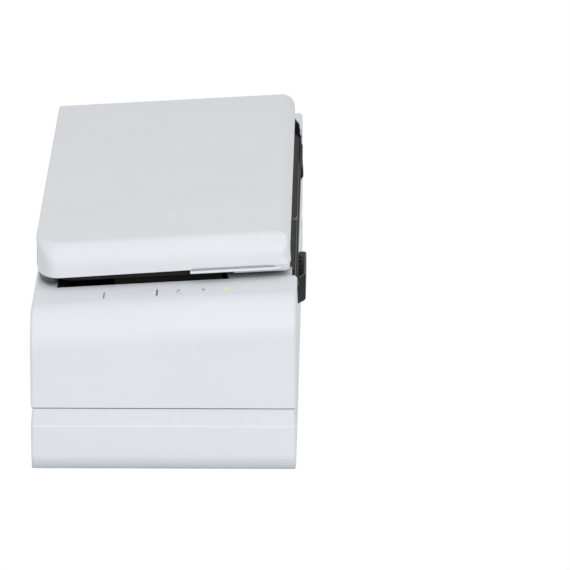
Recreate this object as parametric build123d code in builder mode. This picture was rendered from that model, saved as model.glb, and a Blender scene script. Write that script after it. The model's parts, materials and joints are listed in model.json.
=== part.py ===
import os
from math import atan2, cos, degrees, pi, radians, sin, sqrt, tan

from build123d import *

# Document scanner, in millimetres. X runs along the length, with the control panel at the low end.
# The front, with the slot, faces -Y, and Z is up from the surface that the feet stand on.

# Outer form
length = 296.0
depth = 105.0
rear_height = 80.9
front_height = 87.0
foot_height = 1.2
casing_length = 36.0
wall = 2.2
casing_edge_radius = 1.6
shoulder_radius = 15.0
bottom_edge_radius = 5.0
seam_height = 25.8
crease_height = 17.9
seam_inset = 0.6
pillar_width = 3.8
pillar_depth = 26.8
pillar_drop = 2.4
part_gap = 0.4

# Lid
lid_thickness = 12.0
lid_gap = 4.9
lid_front_inset = 2.9
lid_overhang = 0.5
lid_rear_corner = 18.0
lid_front_corner = 4.0
lid_front_radius = 4.5
lid_front_face = 6.5
lid_front_undercut = 3.0
lid_wall = 2.0
tray_drop = 2.6
tray_thickness = 1.8
tray_inset = 1.5
pull_start = 11.0
pull_end = 46.0
pull_reach = 6.0
pull_thickness = 1.6

# Paper path
paper_height = 26.0
path_below = 1.4
path_above = 3.6
guide_plate = 2.0
mouth_below = 3.0
mouth_above = 4.5
sheet_room = 0.3

# Rollers and shafts
front_roller_inset = 18.5
rear_roller_inset = 28.5
drive_radius = 7.0
idler_radius = 5.0
roller_width = 12.0
roller_places = (-80.0, -28.0, 28.0, 80.0)
shaft_radius = 3.0
idler_shaft_radius = 2.0
running_gap = 0.05
window_gap = 0.8
side_frame = 1.5
side_frame_reach = 12.0
bushing_radius = 5.0
bushing_flange = 6.2
bushing_flange_thickness = 0.8

# Gears and belt
gear_module = 0.8
gear_backlash = 0.12
gear_width = 3.2
root_share = 1.15
tip_share = 0.85
tooth_fill = 0.84
foot_spread = 1.35
tip_spread = 0.5
motor_teeth = 12
rear_drive_teeth = 36
transfer_teeth = 24
middle_teeth = 20
pick_teeth = 18
pulley_radius = 8.0
belt_thickness = 1.2
belt_width = 3.0
belt_gap = 0.1
motor_radius = 16.0
motor_length = 19.0
motor_shaft_radius = 1.5
motor_boss_radius = 4.5
motor_edge = 1.0
motor_bore = 8.0
bracket_foot = 8.0
motor_angle = 110.0
middle_angle = 70.0
pick_angle = 105.0

# Feeder
pick_radius = 9.0
pick_width = 14.0
pick_places = (-17.0, 17.0)
pick_hub_radius = 6.0
brake_radius = 5.5
deck_drop = 22.5
deck_plate = 2.0
throat_inset = 19.0
throat_width = 4.7
throat_flare = 3.0
throat_corner_height = 56.5
feed_wall = 1.8
gear_axle_radius = 2.0
brake_shaft_radius = 1.5

# Upper unit
upper_hinge_inset = 8.5
upper_hinge_height = 34.0
upper_pin_radius = 2.0
upper_wall = 1.8
path_wall_bottom = 27.8
bezel_drop = 27.0
bezel_lip = 1.2
fascia_recess = 0.3
fascia_face_drop = 22.0
fascia_setback = 0.35
fascia_lean = 3.45
ridge_drop = 19.9
ridge_radius = 0.5
cheek_length = 9.0
cheek_height = 9.0
cheek_reach = 1.0
tray_gap = 0.8
ledge_drop = 0.4
ledge_plate = 1.6
ledge_reach = 9.0
ledge_front = 2.2
ledge_slant = 2.0
horn_length = 3.3
horn_setback = 0.4
horn_front_drop = 14.5
horn_rear_drop = 11.8
horn_depth = 2.1

# Lid hinge
lid_hinge_inset = 7.0
lid_hinge_drop = 6.1
lid_pin_radius = 1.5
hinge_eye_radius = 3.0
hinge_room = 0.6
hinge_arm_inset = 18.0
hinge_arm_width = 5.0
hinge_lug_width = 2.5
hinge_stem = 4.0
bracket_bottom = 44.0
bracket_web = 12.0
bracket_ear = 6.0

# Latch lever
latch_inset = 1.8
latch_length = 45.0
latch_height = 10.8
latch_drop = 21.8
latch_reach = 3.0
latch_thickness = 2.4
latch_pin_radius = 1.2
latch_axis_depth = 1.3
latch_ear = 2.6
latch_hub = 2.0
latch_rib = 0.4
latch_room = 1.2
latch_chamfer = 2.0
latch_ribs = 5

# Controls
scan_button_y = 13.5
scan_button_length = 20.5
scan_button_width = 9.4
power_button_y = -10.5
power_button_radius = 5.4
button_inset = 22.2
button_travel = 0.8
button_gap = 0.2
button_flange = 1.2
lamp_y = -24.9
lamp_radius = 0.8
board_thickness = 1.6
control_board_drop = 10.5
control_board_end_gap = 10.0
control_board_width = 21.0
control_board_low_y = -32.0
control_board_high_y = 31.5
control_board_inset = 2.6
control_post_radius = 2.0
switch_size = 6.0
switch_height = 3.5
switch_plunger = 0.6
lamp_base_radius = 1.8
lamp_proud = 0.1
button_proud = 0.3
button_stem_radius = 2.0

# Sensors
sensor_depth = 14.0
sensor_post = 4.0
sensor_glass = 1.0
sensor_edge = 0.8
glass_proud = 0.4
lower_sensor_y = 4.0
lower_sensor_bottom = 11.0
upper_sensor_y = -14.0
upper_sensor_bottom = 28.2
upper_sensor_top = 43.0

# Side guides, their racks and the chute extension
guide_travel = 80.0
guide_reach = 43.0
fence_thickness = 2.0
fence_height = 5.9
guide_foot = 16.0
guide_foot_thickness = 1.6
slide_gap = 0.2
rack_teeth_pinion = 16
rack_lead_teeth = 2
rack_width = 3.6
rack_thickness = 2.0
neck_length = 10.0
extension_half_width = 70.0
extension_thickness = 1.6
extension_drop = 7.4
extension_rear = 22.0
rail_ledge = 1.4

# Connectors, board, feet and fasteners
usb_inset = 19.5
usb_width = 12.0
usb_height = 10.8
usb_wall = 0.6
usb_tongue_width = 5.6
usb_tongue_height = 3.2
usb_length = 12.0
inlet_inset = 30.1
inlet_radius = 3.0
inlet_body = 7.6
inlet_length = 13.0
inlet_depth = 10.0
inlet_pin_radius = 0.8
connector_height = 14.0
lock_width = 7.0
lock_height = 3.0
lock_radius = 0.8
lock_inset = 20.0
lock_centre_height = 40.0
foot_radius = 6.0
foot_recess = 1.0
foot_edge = 0.5
foot_end_inset = 30.0
foot_side_inset = 14.5
column_end_inset = 9.0
column_side_inset = 9.5
column_radius = 3.6
screw_radius = 1.25
screw_head_radius = 2.8
screw_head = 1.8
screw_length = 14.0
screw_slot = 0.8
board_end_gap = 6.0
board_length = 160.0
board_half_depth = 26.0
board_standoff = 2.3
board_corner_inset = 5.0
standoff_radius = 2.5
chip_height = 2.2
chip_places = ((-70.0, -8.0, 16.0), (-30.0, 12.0, 10.0), (5.0, -14.0, 8.0), (35.0, 8.0, 12.0))

# Heights and planes worked out from the sizes above
half_length = length / 2
half_depth = depth / 2
middle_half = half_length - casing_length
tilt = degrees(atan2(front_height - rear_height, depth))
slope = tan(radians(tilt))
top_middle = (rear_height + front_height) / 2
top_plane = Plane(
    origin=(0, 0, top_middle),
    x_dir=(1, 0, 0),
    z_dir=(0, sin(radians(tilt)), cos(radians(tilt))),
)
casing_drop = lid_thickness + lid_gap
front_roller_y = -half_depth + front_roller_inset
rear_roller_y = half_depth - rear_roller_inset
throat_y = half_depth - throat_inset
upper_hinge_y = half_depth - upper_hinge_inset
lid_hinge_y = half_depth - lid_hinge_inset
button_x = -half_length + button_inset
control_board_low_x = -half_length + control_board_end_gap
control_board_high_x = control_board_low_x + control_board_width
usb_x = -half_length + usb_inset
inlet_x = -half_length + inlet_inset
lock_x = half_length - lock_inset
foot_x = half_length - foot_end_inset
foot_y = half_depth - foot_side_inset
column_x = half_length - column_end_inset
column_y = half_depth - column_side_inset
panel_plane = top_plane.offset(-casing_drop)
floor_height = foot_height + wall
guide_top = paper_height - path_below
upper_guide_bottom = paper_height + path_above
mouth_bottom = paper_height - mouth_below
mouth_top = paper_height + mouth_above
drive_axis_height = paper_height - drive_radius
idler_axis_height = paper_height + sheet_room + idler_radius
unit_half = middle_half - pillar_width - part_gap
bezel_top = front_height - bezel_drop
cheek_bottom = bezel_top - cheek_height
latch_top = front_height - latch_drop
latch_bottom = latch_top - latch_height
path_half_width = unit_half - upper_wall
sensor_half_length = path_half_width
lid_half = middle_half + lid_overhang
hinge_arm_x = lid_half - hinge_arm_inset
latch_low_x = -unit_half + latch_inset
latch_high_x = latch_low_x + latch_length
latch_axis = (-half_depth + latch_axis_depth, latch_top - latch_hub)
board_low_x = -path_half_width + board_end_gap
board_high_x = board_low_x + board_length
side_frame_x = middle_half + part_gap / 2
train_x = middle_half + wall + 0.6
pulley_x = train_x
train_gear_x = pulley_x + belt_width + part_gap
bracket_x = train_gear_x + gear_width + part_gap
transfer_x = unit_half + part_gap


def polar(start, distance, angle):
    """Point in Y and Z at a distance and an angle, in degrees from +Y towards +Z, from another."""
    return (
        start[0] + distance * cos(radians(angle)),
        start[1] + distance * sin(radians(angle)),
    )


def pitch_radius(teeth):
    """Pitch radius of a gear with this many teeth."""
    return gear_module * teeth / 2


def centre_distance(teeth, mate_teeth):
    """Distance between two gear axes that leaves a little backlash."""
    return pitch_radius(teeth) + pitch_radius(mate_teeth) + gear_backlash


def height_at(y, drop):
    """Height of a plane that lies the given distance below the lid's top, at a value of Y."""
    return top_middle - drop / cos(radians(tilt)) - y * slope


def along(y, drop):
    """Distance along the tilted planes of a point at this Y, on the plane that far below the lid's top."""
    return (y + drop * sin(radians(tilt))) / cos(radians(tilt))


rear_axis = (rear_roller_y, drive_axis_height)
front_axis = (front_roller_y, drive_axis_height)
motor_axis = polar(rear_axis, centre_distance(rear_drive_teeth, motor_teeth), motor_angle)
middle_axis = polar(rear_axis, centre_distance(transfer_teeth, middle_teeth), middle_angle)
pick_axis = polar(middle_axis, centre_distance(middle_teeth, pick_teeth), pick_angle)
feed_wall_y = throat_y + throat_width
brake_axis = (pick_axis[0] + pick_radius + sheet_room + brake_radius, pick_axis[1])
scan_along = along(scan_button_y, casing_drop)
power_along = along(power_button_y, casing_drop)
lamp_along = along(lamp_y, casing_drop)
hinge_along = along(lid_hinge_y, lid_hinge_drop)
os.makedirs("parts", exist_ok=True)


def block(x, y, z, mode=Mode.ADD):
    """Box between the low and high values given for each axis."""
    centre = ((x[0] + x[1]) / 2, (y[0] + y[1]) / 2, (z[0] + z[1]) / 2)
    with Locations(centre):
        Box(x[1] - x[0], y[1] - y[0], z[1] - z[0], mode=mode)


def tilted_block(x, y, drop, mode=Mode.ADD):
    """Box that lies parallel to the lid, between two distances below the lid's top."""
    with BuildSketch(top_plane.offset(-drop[1])) as profile:
        with Locations(((x[0] + x[1]) / 2, (y[0] + y[1]) / 2)):
            Rectangle(x[1] - x[0], y[1] - y[0])
    extrude(profile.sketch, amount=drop[1] - drop[0], mode=mode)


def rod(x, y, z, radius, mode=Mode.ADD):
    """Round bar along X between two values of X."""
    with BuildSketch(Plane.YZ.offset(x[0])) as profile:
        with Locations((y, z)):
            Circle(radius)
    extrude(profile.sketch, amount=x[1] - x[0], mode=mode)


def side_profile(x, points, mode=Mode.ADD):
    """Straight-sided outline in Y and Z, carried along X between two values."""
    with BuildSketch(Plane.YZ.offset(x[0])) as profile:
        with BuildLine():
            Polyline(*points, close=True)
        make_face()
    extrude(profile.sketch, amount=x[1] - x[0], mode=mode)


def tooth_outline(teeth):
    """Outline of one gear tooth along +X, from inside the root circle to the tip."""
    root = pitch_radius(teeth) - root_share * gear_module
    tip = pitch_radius(teeth) + tip_share * gear_module
    half_tooth = pi * gear_module / 4 * tooth_fill
    return (
        (root - gear_module / 2, -half_tooth * foot_spread),
        (root, -half_tooth * foot_spread),
        (tip, -half_tooth * tip_spread),
        (tip, half_tooth * tip_spread),
        (root, half_tooth * foot_spread),
        (root - gear_module / 2, half_tooth * foot_spread),
    )


def toothed_wheel(x, y, z, teeth, phase):
    """Spur gear about an axis along X, with one tooth at the phase angle in degrees."""
    with BuildSketch(Plane.YZ.offset(x[0])) as profile:
        with Locations((y, z)):
            Circle(pitch_radius(teeth) - root_share * gear_module)
            with PolarLocations(0, teeth, start_angle=phase):
                Polygon(*tooth_outline(teeth), align=None)
    extrude(profile.sketch, amount=x[1] - x[0])


def meshed_phase(phase, teeth, direction, mate_teeth):
    """Phase of a gear whose gaps take the teeth of its mate, seen along the line of centres."""
    return direction + 180 + (180 - (phase - direction) * teeth) / mate_teeth


def casing_form(side, margin, low):
    """Outer form of an end casing drawn in by a margin; side is -1 for the panel end and 1 for the other."""
    outer_x = side * (half_length - margin)
    inner_x = side * (middle_half + margin)
    with BuildPart(mode=Mode.PRIVATE) as form:
        block(
            sorted((outer_x, inner_x)),
            (-half_depth + margin, half_depth - margin),
            (low, front_height),
        )
        split(bisect_by=panel_plane.offset(-margin), keep=Keep.BOTTOM)
        end_face = form.faces().filter_by(Axis.X).sort_by(Axis.X)[-1 if side > 0 else 0]
        fillet(end_face.edges().sort_by(Axis.Z)[-1], shoulder_radius - margin)
    return form


def base_form(margin, top):
    """Outer form of the base below the crease, drawn in by a margin."""
    with BuildPart(mode=Mode.PRIVATE) as form:
        block(
            (-half_length + margin, half_length - margin),
            (-half_depth + margin, half_depth - margin),
            (foot_height + margin, top),
        )
        fillet(form.faces().sort_by(Axis.Z)[0].edges().filter_by(Axis.Y), bottom_edge_radius - margin)
    return form


def end_casing(side):
    """Hollow end casing with pillars beside the paper path and columns for the screws from below."""
    pillar_x = sorted((side * (middle_half - pillar_width), side * (middle_half + wall)))
    with BuildPart(mode=Mode.PRIVATE) as shell:
        add(casing_form(side, 0, seam_height).part)
        for face in shell.faces().filter_by(Axis.Y):
            edges = [
                edge
                for edge in face.edges()
                if edge.center().Z > seam_height + 1 and abs(edge.center().X) > middle_half + 1
            ]
            fillet(edges, casing_edge_radius)
        add(casing_form(side, wall, seam_height - 1).part, mode=Mode.SUBTRACT)
    with BuildPart(mode=Mode.PRIVATE) as pillars:
        block(pillar_x, (-half_depth, -half_depth + pillar_depth), (seam_height, front_height))
        split(bisect_by=panel_plane.offset(-pillar_drop), keep=Keep.BOTTOM)
    with BuildPart(mode=Mode.PRIVATE) as columns:
        with BuildSketch(Plane.XY.offset(floor_height + screw_head)):
            with Locations(*[(side * column_x, row * column_y) for row in (-1, 1)]):
                Circle(column_radius)
        extrude(amount=front_height)
        add(casing_form(side, wall / 2, 0).part, mode=Mode.INTERSECT)
        with BuildSketch(Plane.XY.offset(floor_height + screw_head)):
            with Locations(*[(side * column_x, row * column_y) for row in (-1, 1)]):
                Circle(screw_radius)
        extrude(amount=screw_length, mode=Mode.SUBTRACT)
    with BuildPart(mode=Mode.PRIVATE) as casing:
        add(shell.part)
        add(pillars.part)
        add(columns.part)
        rod(
            sorted((side * (middle_half - pillar_width - 1), side * (middle_half + wall + 1))),
            upper_hinge_y,
            upper_hinge_height,
            upper_pin_radius,
            mode=Mode.SUBTRACT,
        )
    return casing.part


# Base tray, hollow from above, with its middle lowered for the paper slot
with BuildPart() as base_tray:
    add(base_form(0, crease_height).part)
    for face in base_tray.faces().filter_by(Axis.Y):
        fillet([edge for edge in face.edges() if edge.center().Z < crease_height - 1], casing_edge_radius)
    with BuildSketch(Plane.XY.offset(crease_height)):
        RectangleRounded(length, depth, casing_edge_radius)
    extrude(
        amount=seam_height - crease_height,
        taper=degrees(atan2(seam_inset, seam_height - crease_height)),
    )
    add(base_form(wall, seam_height + 1).part, mode=Mode.SUBTRACT)
    block(
        (-middle_half + pillar_width, middle_half - pillar_width),
        (-half_depth - 1, half_depth + 1),
        (mouth_bottom, seam_height + 1),
        mode=Mode.SUBTRACT,
    )
    with BuildSketch(Plane.XY.offset(foot_height)):
        with GridLocations(2 * column_x, 2 * column_y, 2, 2):
            Circle(column_radius + 1.4)
    extrude(amount=wall + screw_head)
    with BuildSketch(Plane.XY.offset(foot_height)):
        with GridLocations(2 * column_x, 2 * column_y, 2, 2):
            Circle(screw_head_radius + 0.3)
    extrude(amount=screw_head + 0.2, mode=Mode.SUBTRACT)
    with BuildSketch(Plane.XY.offset(foot_height)):
        with GridLocations(2 * column_x, 2 * column_y, 2, 2):
            Circle(screw_radius + 0.2)
    extrude(amount=2 * wall + screw_head, mode=Mode.SUBTRACT)
    with BuildSketch(Plane.XY.offset(foot_height)):
        with GridLocations(2 * foot_x, 2 * foot_y, 2, 2):
            Circle(foot_radius)
    extrude(amount=foot_recess, mode=Mode.SUBTRACT)
    for x in (board_low_x + board_corner_inset, board_high_x - board_corner_inset):
        for y in (-board_half_depth + board_corner_inset, board_half_depth - board_corner_inset):
            with BuildSketch(Plane.XY.offset(floor_height)):
                with Locations((x, y)):
                    Circle(standoff_radius)
            extrude(amount=board_standoff)
    for side in (-1, 1):
        block(
            sorted((side * sensor_half_length, side * (sensor_half_length - sensor_post))),
            (lower_sensor_y - sensor_post / 2, lower_sensor_y + sensor_post / 2),
            (floor_height, lower_sensor_bottom),
        )
    block(
        (usb_x - usb_width / 2, usb_x + usb_width / 2),
        (half_depth - 2 * wall, half_depth + 1),
        (connector_height - usb_height / 2, connector_height + usb_height / 2),
        mode=Mode.SUBTRACT,
    )
    with BuildSketch(Plane.XZ.offset(-half_depth - 1)):
        with Locations((inlet_x, connector_height)):
            Circle(inlet_radius + 0.4)
    extrude(amount=2 * wall, mode=Mode.SUBTRACT)
base_tray.part.label = "base_tray"
export_step(base_tray.part, "parts/base_tray.step")

# Left end casing with the holes for the controls and posts for their board
with BuildPart() as left_end_casing:
    add(end_casing(-1))
    tilted_block(
        (button_x - scan_button_width / 2 - button_gap, button_x + scan_button_width / 2 + button_gap),
        (scan_along - scan_button_length / 2 - button_gap, scan_along + scan_button_length / 2 + button_gap),
        (casing_drop - 1, casing_drop + wall + 1),
        mode=Mode.SUBTRACT,
    )
    with BuildSketch(top_plane.offset(-casing_drop - wall - 1)):
        with Locations((button_x, power_along)):
            Circle(power_button_radius + button_gap)
        with Locations((button_x, lamp_along)):
            Circle(lamp_radius + running_gap)
    extrude(amount=wall + 2, mode=Mode.SUBTRACT)
    with BuildSketch(top_plane.offset(-casing_drop - control_board_drop)):
        for x in (control_board_low_x + control_board_inset, control_board_high_x - control_board_inset):
            for y in (control_board_low_y + control_board_inset, control_board_high_y - control_board_inset):
                with Locations((x, y)):
                    Circle(control_post_radius)
    extrude(amount=control_board_drop - wall / 2)
left_end_casing.part.label = "left_end_casing"
export_step(left_end_casing.part, "parts/left_end_casing.step")

# Right end casing with its lock slot in the rear wall
with BuildPart() as right_end_casing:
    add(end_casing(1))
    with BuildSketch(Plane.XZ.offset(-half_depth - 1)):
        with Locations((lock_x, lock_centre_height)):
            RectangleRounded(lock_width, lock_height, lock_radius)
    extrude(amount=wall + 2, mode=Mode.SUBTRACT)
right_end_casing.part.label = "right_end_casing"
export_step(right_end_casing.part, "parts/right_end_casing.step")

# Rubber feet in their recesses
with BuildPart() as rubber_feet:
    with BuildSketch(Plane.XY):
        with GridLocations(2 * foot_x, 2 * foot_y, 2, 2):
            Circle(foot_radius)
    extrude(amount=foot_height + foot_recess)
    fillet(rubber_feet.faces().filter_by(Axis.Z).group_by(Axis.Z)[0].edges(), foot_edge)
rubber_feet.part.label = "rubber_feet"
export_step(rubber_feet.part, "parts/rubber_feet.step")

# Screws that hold the end casings to the base from below
with BuildPart() as casing_screws:
    with BuildSketch(Plane.XY.offset(foot_height + 0.2)):
        with GridLocations(2 * column_x, 2 * column_y, 2, 2):
            Circle(screw_head_radius)
    extrude(amount=screw_head)
    with BuildSketch(Plane.XY.offset(foot_height + 0.2 + screw_head)):
        with GridLocations(2 * column_x, 2 * column_y, 2, 2):
            Circle(screw_radius)
    extrude(amount=screw_length)
    with BuildSketch(Plane.XY.offset(foot_height + 0.2)):
        with GridLocations(2 * column_x, 2 * column_y, 2, 2):
            Rectangle(2 * screw_radius, screw_slot)
            Rectangle(screw_slot, 2 * screw_radius)
    extrude(amount=screw_head / 2, mode=Mode.SUBTRACT)
casing_screws.part.label = "casing_screws"
export_step(casing_screws.part, "parts/casing_screws.step")

# Lower paper guide with windows for the rollers, the sensor and the transfer gear
with BuildPart() as lower_paper_guide:
    block(
        (-side_frame_x + slide_gap, side_frame_x - slide_gap),
        (-half_depth + wall + seam_inset + slide_gap, half_depth - wall - seam_inset - slide_gap),
        (guide_top - guide_plate, guide_top),
    )
    for y in (front_roller_y, rear_roller_y):
        for x in roller_places:
            block(
                (x - roller_width / 2 - window_gap, x + roller_width / 2 + window_gap),
                (y - drive_radius - window_gap, y + drive_radius + window_gap),
                (guide_top - guide_plate - 1, guide_top + 1),
                mode=Mode.SUBTRACT,
            )
    block(
        (-sensor_half_length - slide_gap, sensor_half_length + slide_gap),
        (lower_sensor_y - sensor_depth / 2 - slide_gap, lower_sensor_y + sensor_depth / 2 + slide_gap),
        (guide_top - guide_plate - 1, guide_top + 1),
        mode=Mode.SUBTRACT,
    )
    gear_tip = pitch_radius(transfer_teeth) + gear_module
    block(
        (transfer_x - part_gap, side_frame_x),
        (rear_roller_y - gear_tip, rear_roller_y + gear_tip),
        (guide_top - guide_plate - 1, guide_top + 1),
        mode=Mode.SUBTRACT,
    )
lower_paper_guide.part.label = "lower_paper_guide"
export_step(lower_paper_guide.part, "parts/lower_paper_guide.step")


def image_sensor(y, z_low, z_high):
    """Contact image sensor: a long housing across the paper path."""
    with BuildPart(mode=Mode.PRIVATE) as sensor:
        block(
            (-sensor_half_length, sensor_half_length),
            (y - sensor_depth / 2, y + sensor_depth / 2),
            (z_low, z_high),
        )
        fillet(sensor.edges().filter_by(Axis.X), sensor_edge)
        looks_up = z_low < paper_height
        block(
            (-sensor_half_length + sensor_glass, sensor_half_length - sensor_glass),
            (y - sensor_depth / 2 + sensor_glass, y + sensor_depth / 2 - sensor_glass),
            (z_high - sensor_glass, z_high + 1) if looks_up else (z_low - 1, z_low + sensor_glass),
            mode=Mode.SUBTRACT,
        )
    return sensor.part


def sensor_window(y, z_low):
    """Glass strip that fills the recess of a sensor's housing and stands a little proud of it."""
    with BuildPart(mode=Mode.PRIVATE) as window:
        block(
            (-sensor_half_length + sensor_glass, sensor_half_length - sensor_glass),
            (y - sensor_depth / 2 + sensor_glass, y + sensor_depth / 2 - sensor_glass),
            (z_low, z_low + sensor_glass + glass_proud),
        )
    return window.part


# Lower image sensor and its glass, looking up through the lower guide
with BuildPart() as lower_image_sensor:
    add(image_sensor(lower_sensor_y, lower_sensor_bottom, guide_top))
lower_image_sensor.part.label = "lower_image_sensor"
export_step(lower_image_sensor.part, "parts/lower_image_sensor.step")

with BuildPart() as lower_sensor_glass:
    add(sensor_window(lower_sensor_y, guide_top - sensor_glass))
lower_sensor_glass.part.label = "lower_sensor_glass"
export_step(lower_sensor_glass.part, "parts/lower_sensor_glass.step")


def side_plate(side):
    """Steel plate beside the paper path that carries the bushings of both drive shafts."""
    with BuildPart(mode=Mode.PRIVATE) as plate:
        plate_x = sorted((side * side_frame_x, side * (side_frame_x + side_frame)))
        block(
            plate_x,
            (front_roller_y - side_frame_reach, rear_roller_y + side_frame_reach),
            (floor_height, seam_height - part_gap),
        )
        for axis in (front_axis, rear_axis):
            rod(plate_x, axis[0], axis[1], bushing_radius, mode=Mode.SUBTRACT)
    return plate.part


with BuildPart() as left_side_plate:
    add(side_plate(-1))
left_side_plate.part.label = "left_side_plate"
export_step(left_side_plate.part, "parts/left_side_plate.step")

with BuildPart() as right_side_plate:
    add(side_plate(1))
right_side_plate.part.label = "right_side_plate"
export_step(right_side_plate.part, "parts/right_side_plate.step")

# Flanged bushings of the drive shafts
bushing_end = side_frame_x + side_frame + bushing_flange_thickness
with BuildPart() as shaft_bushings:
    for side in (-1, 1):
        for axis in (front_axis, rear_axis):
            rod(
                sorted((side * side_frame_x, side * (side_frame_x + side_frame))),
                axis[0],
                axis[1],
                bushing_radius,
            )
            rod(
                sorted((side * (side_frame_x + side_frame), side * bushing_end)),
                axis[0],
                axis[1],
                bushing_flange,
            )
            rod(
                sorted((side * (side_frame_x - 1), side * bushing_end)),
                axis[0],
                axis[1],
                shaft_radius + running_gap,
                mode=Mode.SUBTRACT,
            )
shaft_bushings.part.label = "shaft_bushings"
export_step(shaft_bushings.part, "parts/shaft_bushings.step")

# Main circuit board on its standoffs
with BuildPart() as main_board:
    block(
        (board_low_x, board_high_x),
        (-board_half_depth, board_half_depth),
        (floor_height + board_standoff, floor_height + board_standoff + board_thickness),
    )
main_board.part.label = "main_board"
export_step(main_board.part, "parts/main_board.step")

# Data socket and power inlet in the rear wall of the base
with BuildPart() as data_socket:
    block(
        (usb_x - usb_width / 2, usb_x + usb_width / 2),
        (half_depth - usb_length, half_depth - part_gap),
        (connector_height - usb_height / 2, connector_height + usb_height / 2),
    )
    block(
        (usb_x - usb_width / 2 + usb_wall, usb_x + usb_width / 2 - usb_wall),
        (half_depth - usb_length + usb_wall, half_depth),
        (connector_height - usb_height / 2 + usb_wall, connector_height + usb_height / 2 - usb_wall),
        mode=Mode.SUBTRACT,
    )
    block(
        (usb_x - usb_tongue_width / 2, usb_x + usb_tongue_width / 2),
        (half_depth - usb_length, half_depth - 2 * part_gap),
        (connector_height - usb_tongue_height / 2, connector_height + usb_tongue_height / 2),
    )
data_socket.part.label = "data_socket"
export_step(data_socket.part, "parts/data_socket.step")

with BuildPart() as power_inlet:
    block(
        (inlet_x - inlet_body / 2, inlet_x + inlet_body / 2),
        (half_depth - wall - inlet_length, half_depth - wall),
        (connector_height - inlet_body / 2, connector_height + inlet_body / 2),
    )
    with BuildSketch(Plane.XZ.offset(-half_depth + wall)):
        with Locations((inlet_x, connector_height)):
            Circle(inlet_radius)
    extrude(amount=inlet_depth, mode=Mode.SUBTRACT)
    with BuildSketch(Plane.XZ.offset(-half_depth + wall)):
        with Locations((inlet_x, connector_height)):
            Circle(inlet_pin_radius)
    extrude(amount=inlet_length - 1)
power_inlet.part.label = "power_inlet"
export_step(power_inlet.part, "parts/power_inlet.step")

# Control board under the panel, its switches and the light guide of the lamp
board_drop = casing_drop + control_board_drop
with BuildPart() as control_board:
    tilted_block(
        (control_board_low_x, control_board_high_x),
        (control_board_low_y, control_board_high_y),
        (board_drop, board_drop + board_thickness),
    )
control_board.part.label = "control_board"
export_step(control_board.part, "parts/control_board.step")

board_top = floor_height + board_standoff + board_thickness
with BuildPart() as board_components:
    for x, y, size in chip_places:
        block(
            (x - size / 2, x + size / 2),
            (y - size / 2, y + size / 2),
            (board_top, board_top + chip_height),
        )
    for y in (scan_along, power_along):
        tilted_block(
            (button_x - switch_size / 2, button_x + switch_size / 2),
            (y - switch_size / 2, y + switch_size / 2),
            (board_drop - switch_height, board_drop),
        )
        with BuildSketch(top_plane.offset(-board_drop + switch_height)):
            with Locations((button_x, y)):
                Circle(switch_size / 4)
        extrude(amount=switch_plunger)
board_components.part.label = "board_components"
export_step(board_components.part, "parts/board_components.step")

with BuildPart() as light_guide:
    with BuildSketch(top_plane.offset(-board_drop)):
        with Locations((button_x, lamp_along)):
            Circle(lamp_base_radius)
    extrude(amount=switch_height)
    with BuildSketch(top_plane.offset(-board_drop)):
        with Locations((button_x, lamp_along)):
            Circle(lamp_radius)
    extrude(amount=control_board_drop + lamp_proud)
light_guide.part.label = "light_guide"
export_step(light_guide.part, "parts/light_guide.step")

# Scan and power buttons: cap through the panel, flange under it and stem above the switch
stem_end_drop = board_drop - switch_height - switch_plunger - button_travel - running_gap
with BuildPart() as scan_button:
    tilted_block(
        (button_x - scan_button_width / 2, button_x + scan_button_width / 2),
        (scan_along - scan_button_length / 2, scan_along + scan_button_length / 2),
        (casing_drop - button_proud, casing_drop + wall + button_gap),
    )
    tilted_block(
        (button_x - scan_button_width / 2 - button_flange, button_x + scan_button_width / 2 + button_flange),
        (
            scan_along - scan_button_length / 2 - button_flange,
            scan_along + scan_button_length / 2 + button_flange,
        ),
        (casing_drop + wall + button_gap, casing_drop + wall + button_gap + button_flange),
    )
    with BuildSketch(top_plane.offset(-stem_end_drop)):
        with Locations((button_x, scan_along)):
            Circle(button_stem_radius)
    extrude(amount=stem_end_drop - casing_drop - wall)
scan_button.part.label = "scan_button"
export_step(scan_button.part, "parts/scan_button.step")

with BuildPart() as power_button:
    with BuildSketch(top_plane.offset(-casing_drop - wall - button_gap)):
        with Locations((button_x, power_along)):
            Circle(power_button_radius)
    extrude(amount=wall + button_gap + button_proud)
    with BuildSketch(top_plane.offset(-casing_drop - wall - button_gap - button_flange)):
        with Locations((button_x, power_along)):
            Circle(power_button_radius + button_flange)
    extrude(amount=button_flange)
    with BuildSketch(top_plane.offset(-stem_end_drop)):
        with Locations((button_x, power_along)):
            Circle(button_stem_radius)
    extrude(amount=stem_end_drop - casing_drop - wall)
power_button.part.label = "power_button"
export_step(power_button.part, "parts/power_button.step")


def hollow_roller(x, axis, outer, inner):
    """Sleeve about an axis along X."""
    with BuildPart(mode=Mode.PRIVATE) as sleeve:
        rod(x, axis[0], axis[1], outer)
        rod(x, axis[0], axis[1], inner, mode=Mode.SUBTRACT)
    return sleeve.part


def roller_set(axis, outer, inner, places, width):
    """Equal sleeves along one shaft."""
    with BuildPart(mode=Mode.PRIVATE) as sleeves:
        for x in places:
            add(hollow_roller((x - width / 2, x + width / 2), axis, outer, inner))
    return sleeves.part


# Drive shafts with their rubber rollers and pulleys
shaft_low_x = -side_frame_x - side_frame - 1
with BuildPart() as front_drive_shaft:
    rod((shaft_low_x, pulley_x + belt_width), front_axis[0], front_axis[1], shaft_radius)
front_drive_shaft.part.label = "front_drive_shaft"
export_step(front_drive_shaft.part, "parts/front_drive_shaft.step")

with BuildPart() as rear_drive_shaft:
    rod((shaft_low_x, train_gear_x + gear_width), rear_axis[0], rear_axis[1], shaft_radius)
rear_drive_shaft.part.label = "rear_drive_shaft"
export_step(rear_drive_shaft.part, "parts/rear_drive_shaft.step")

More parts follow.
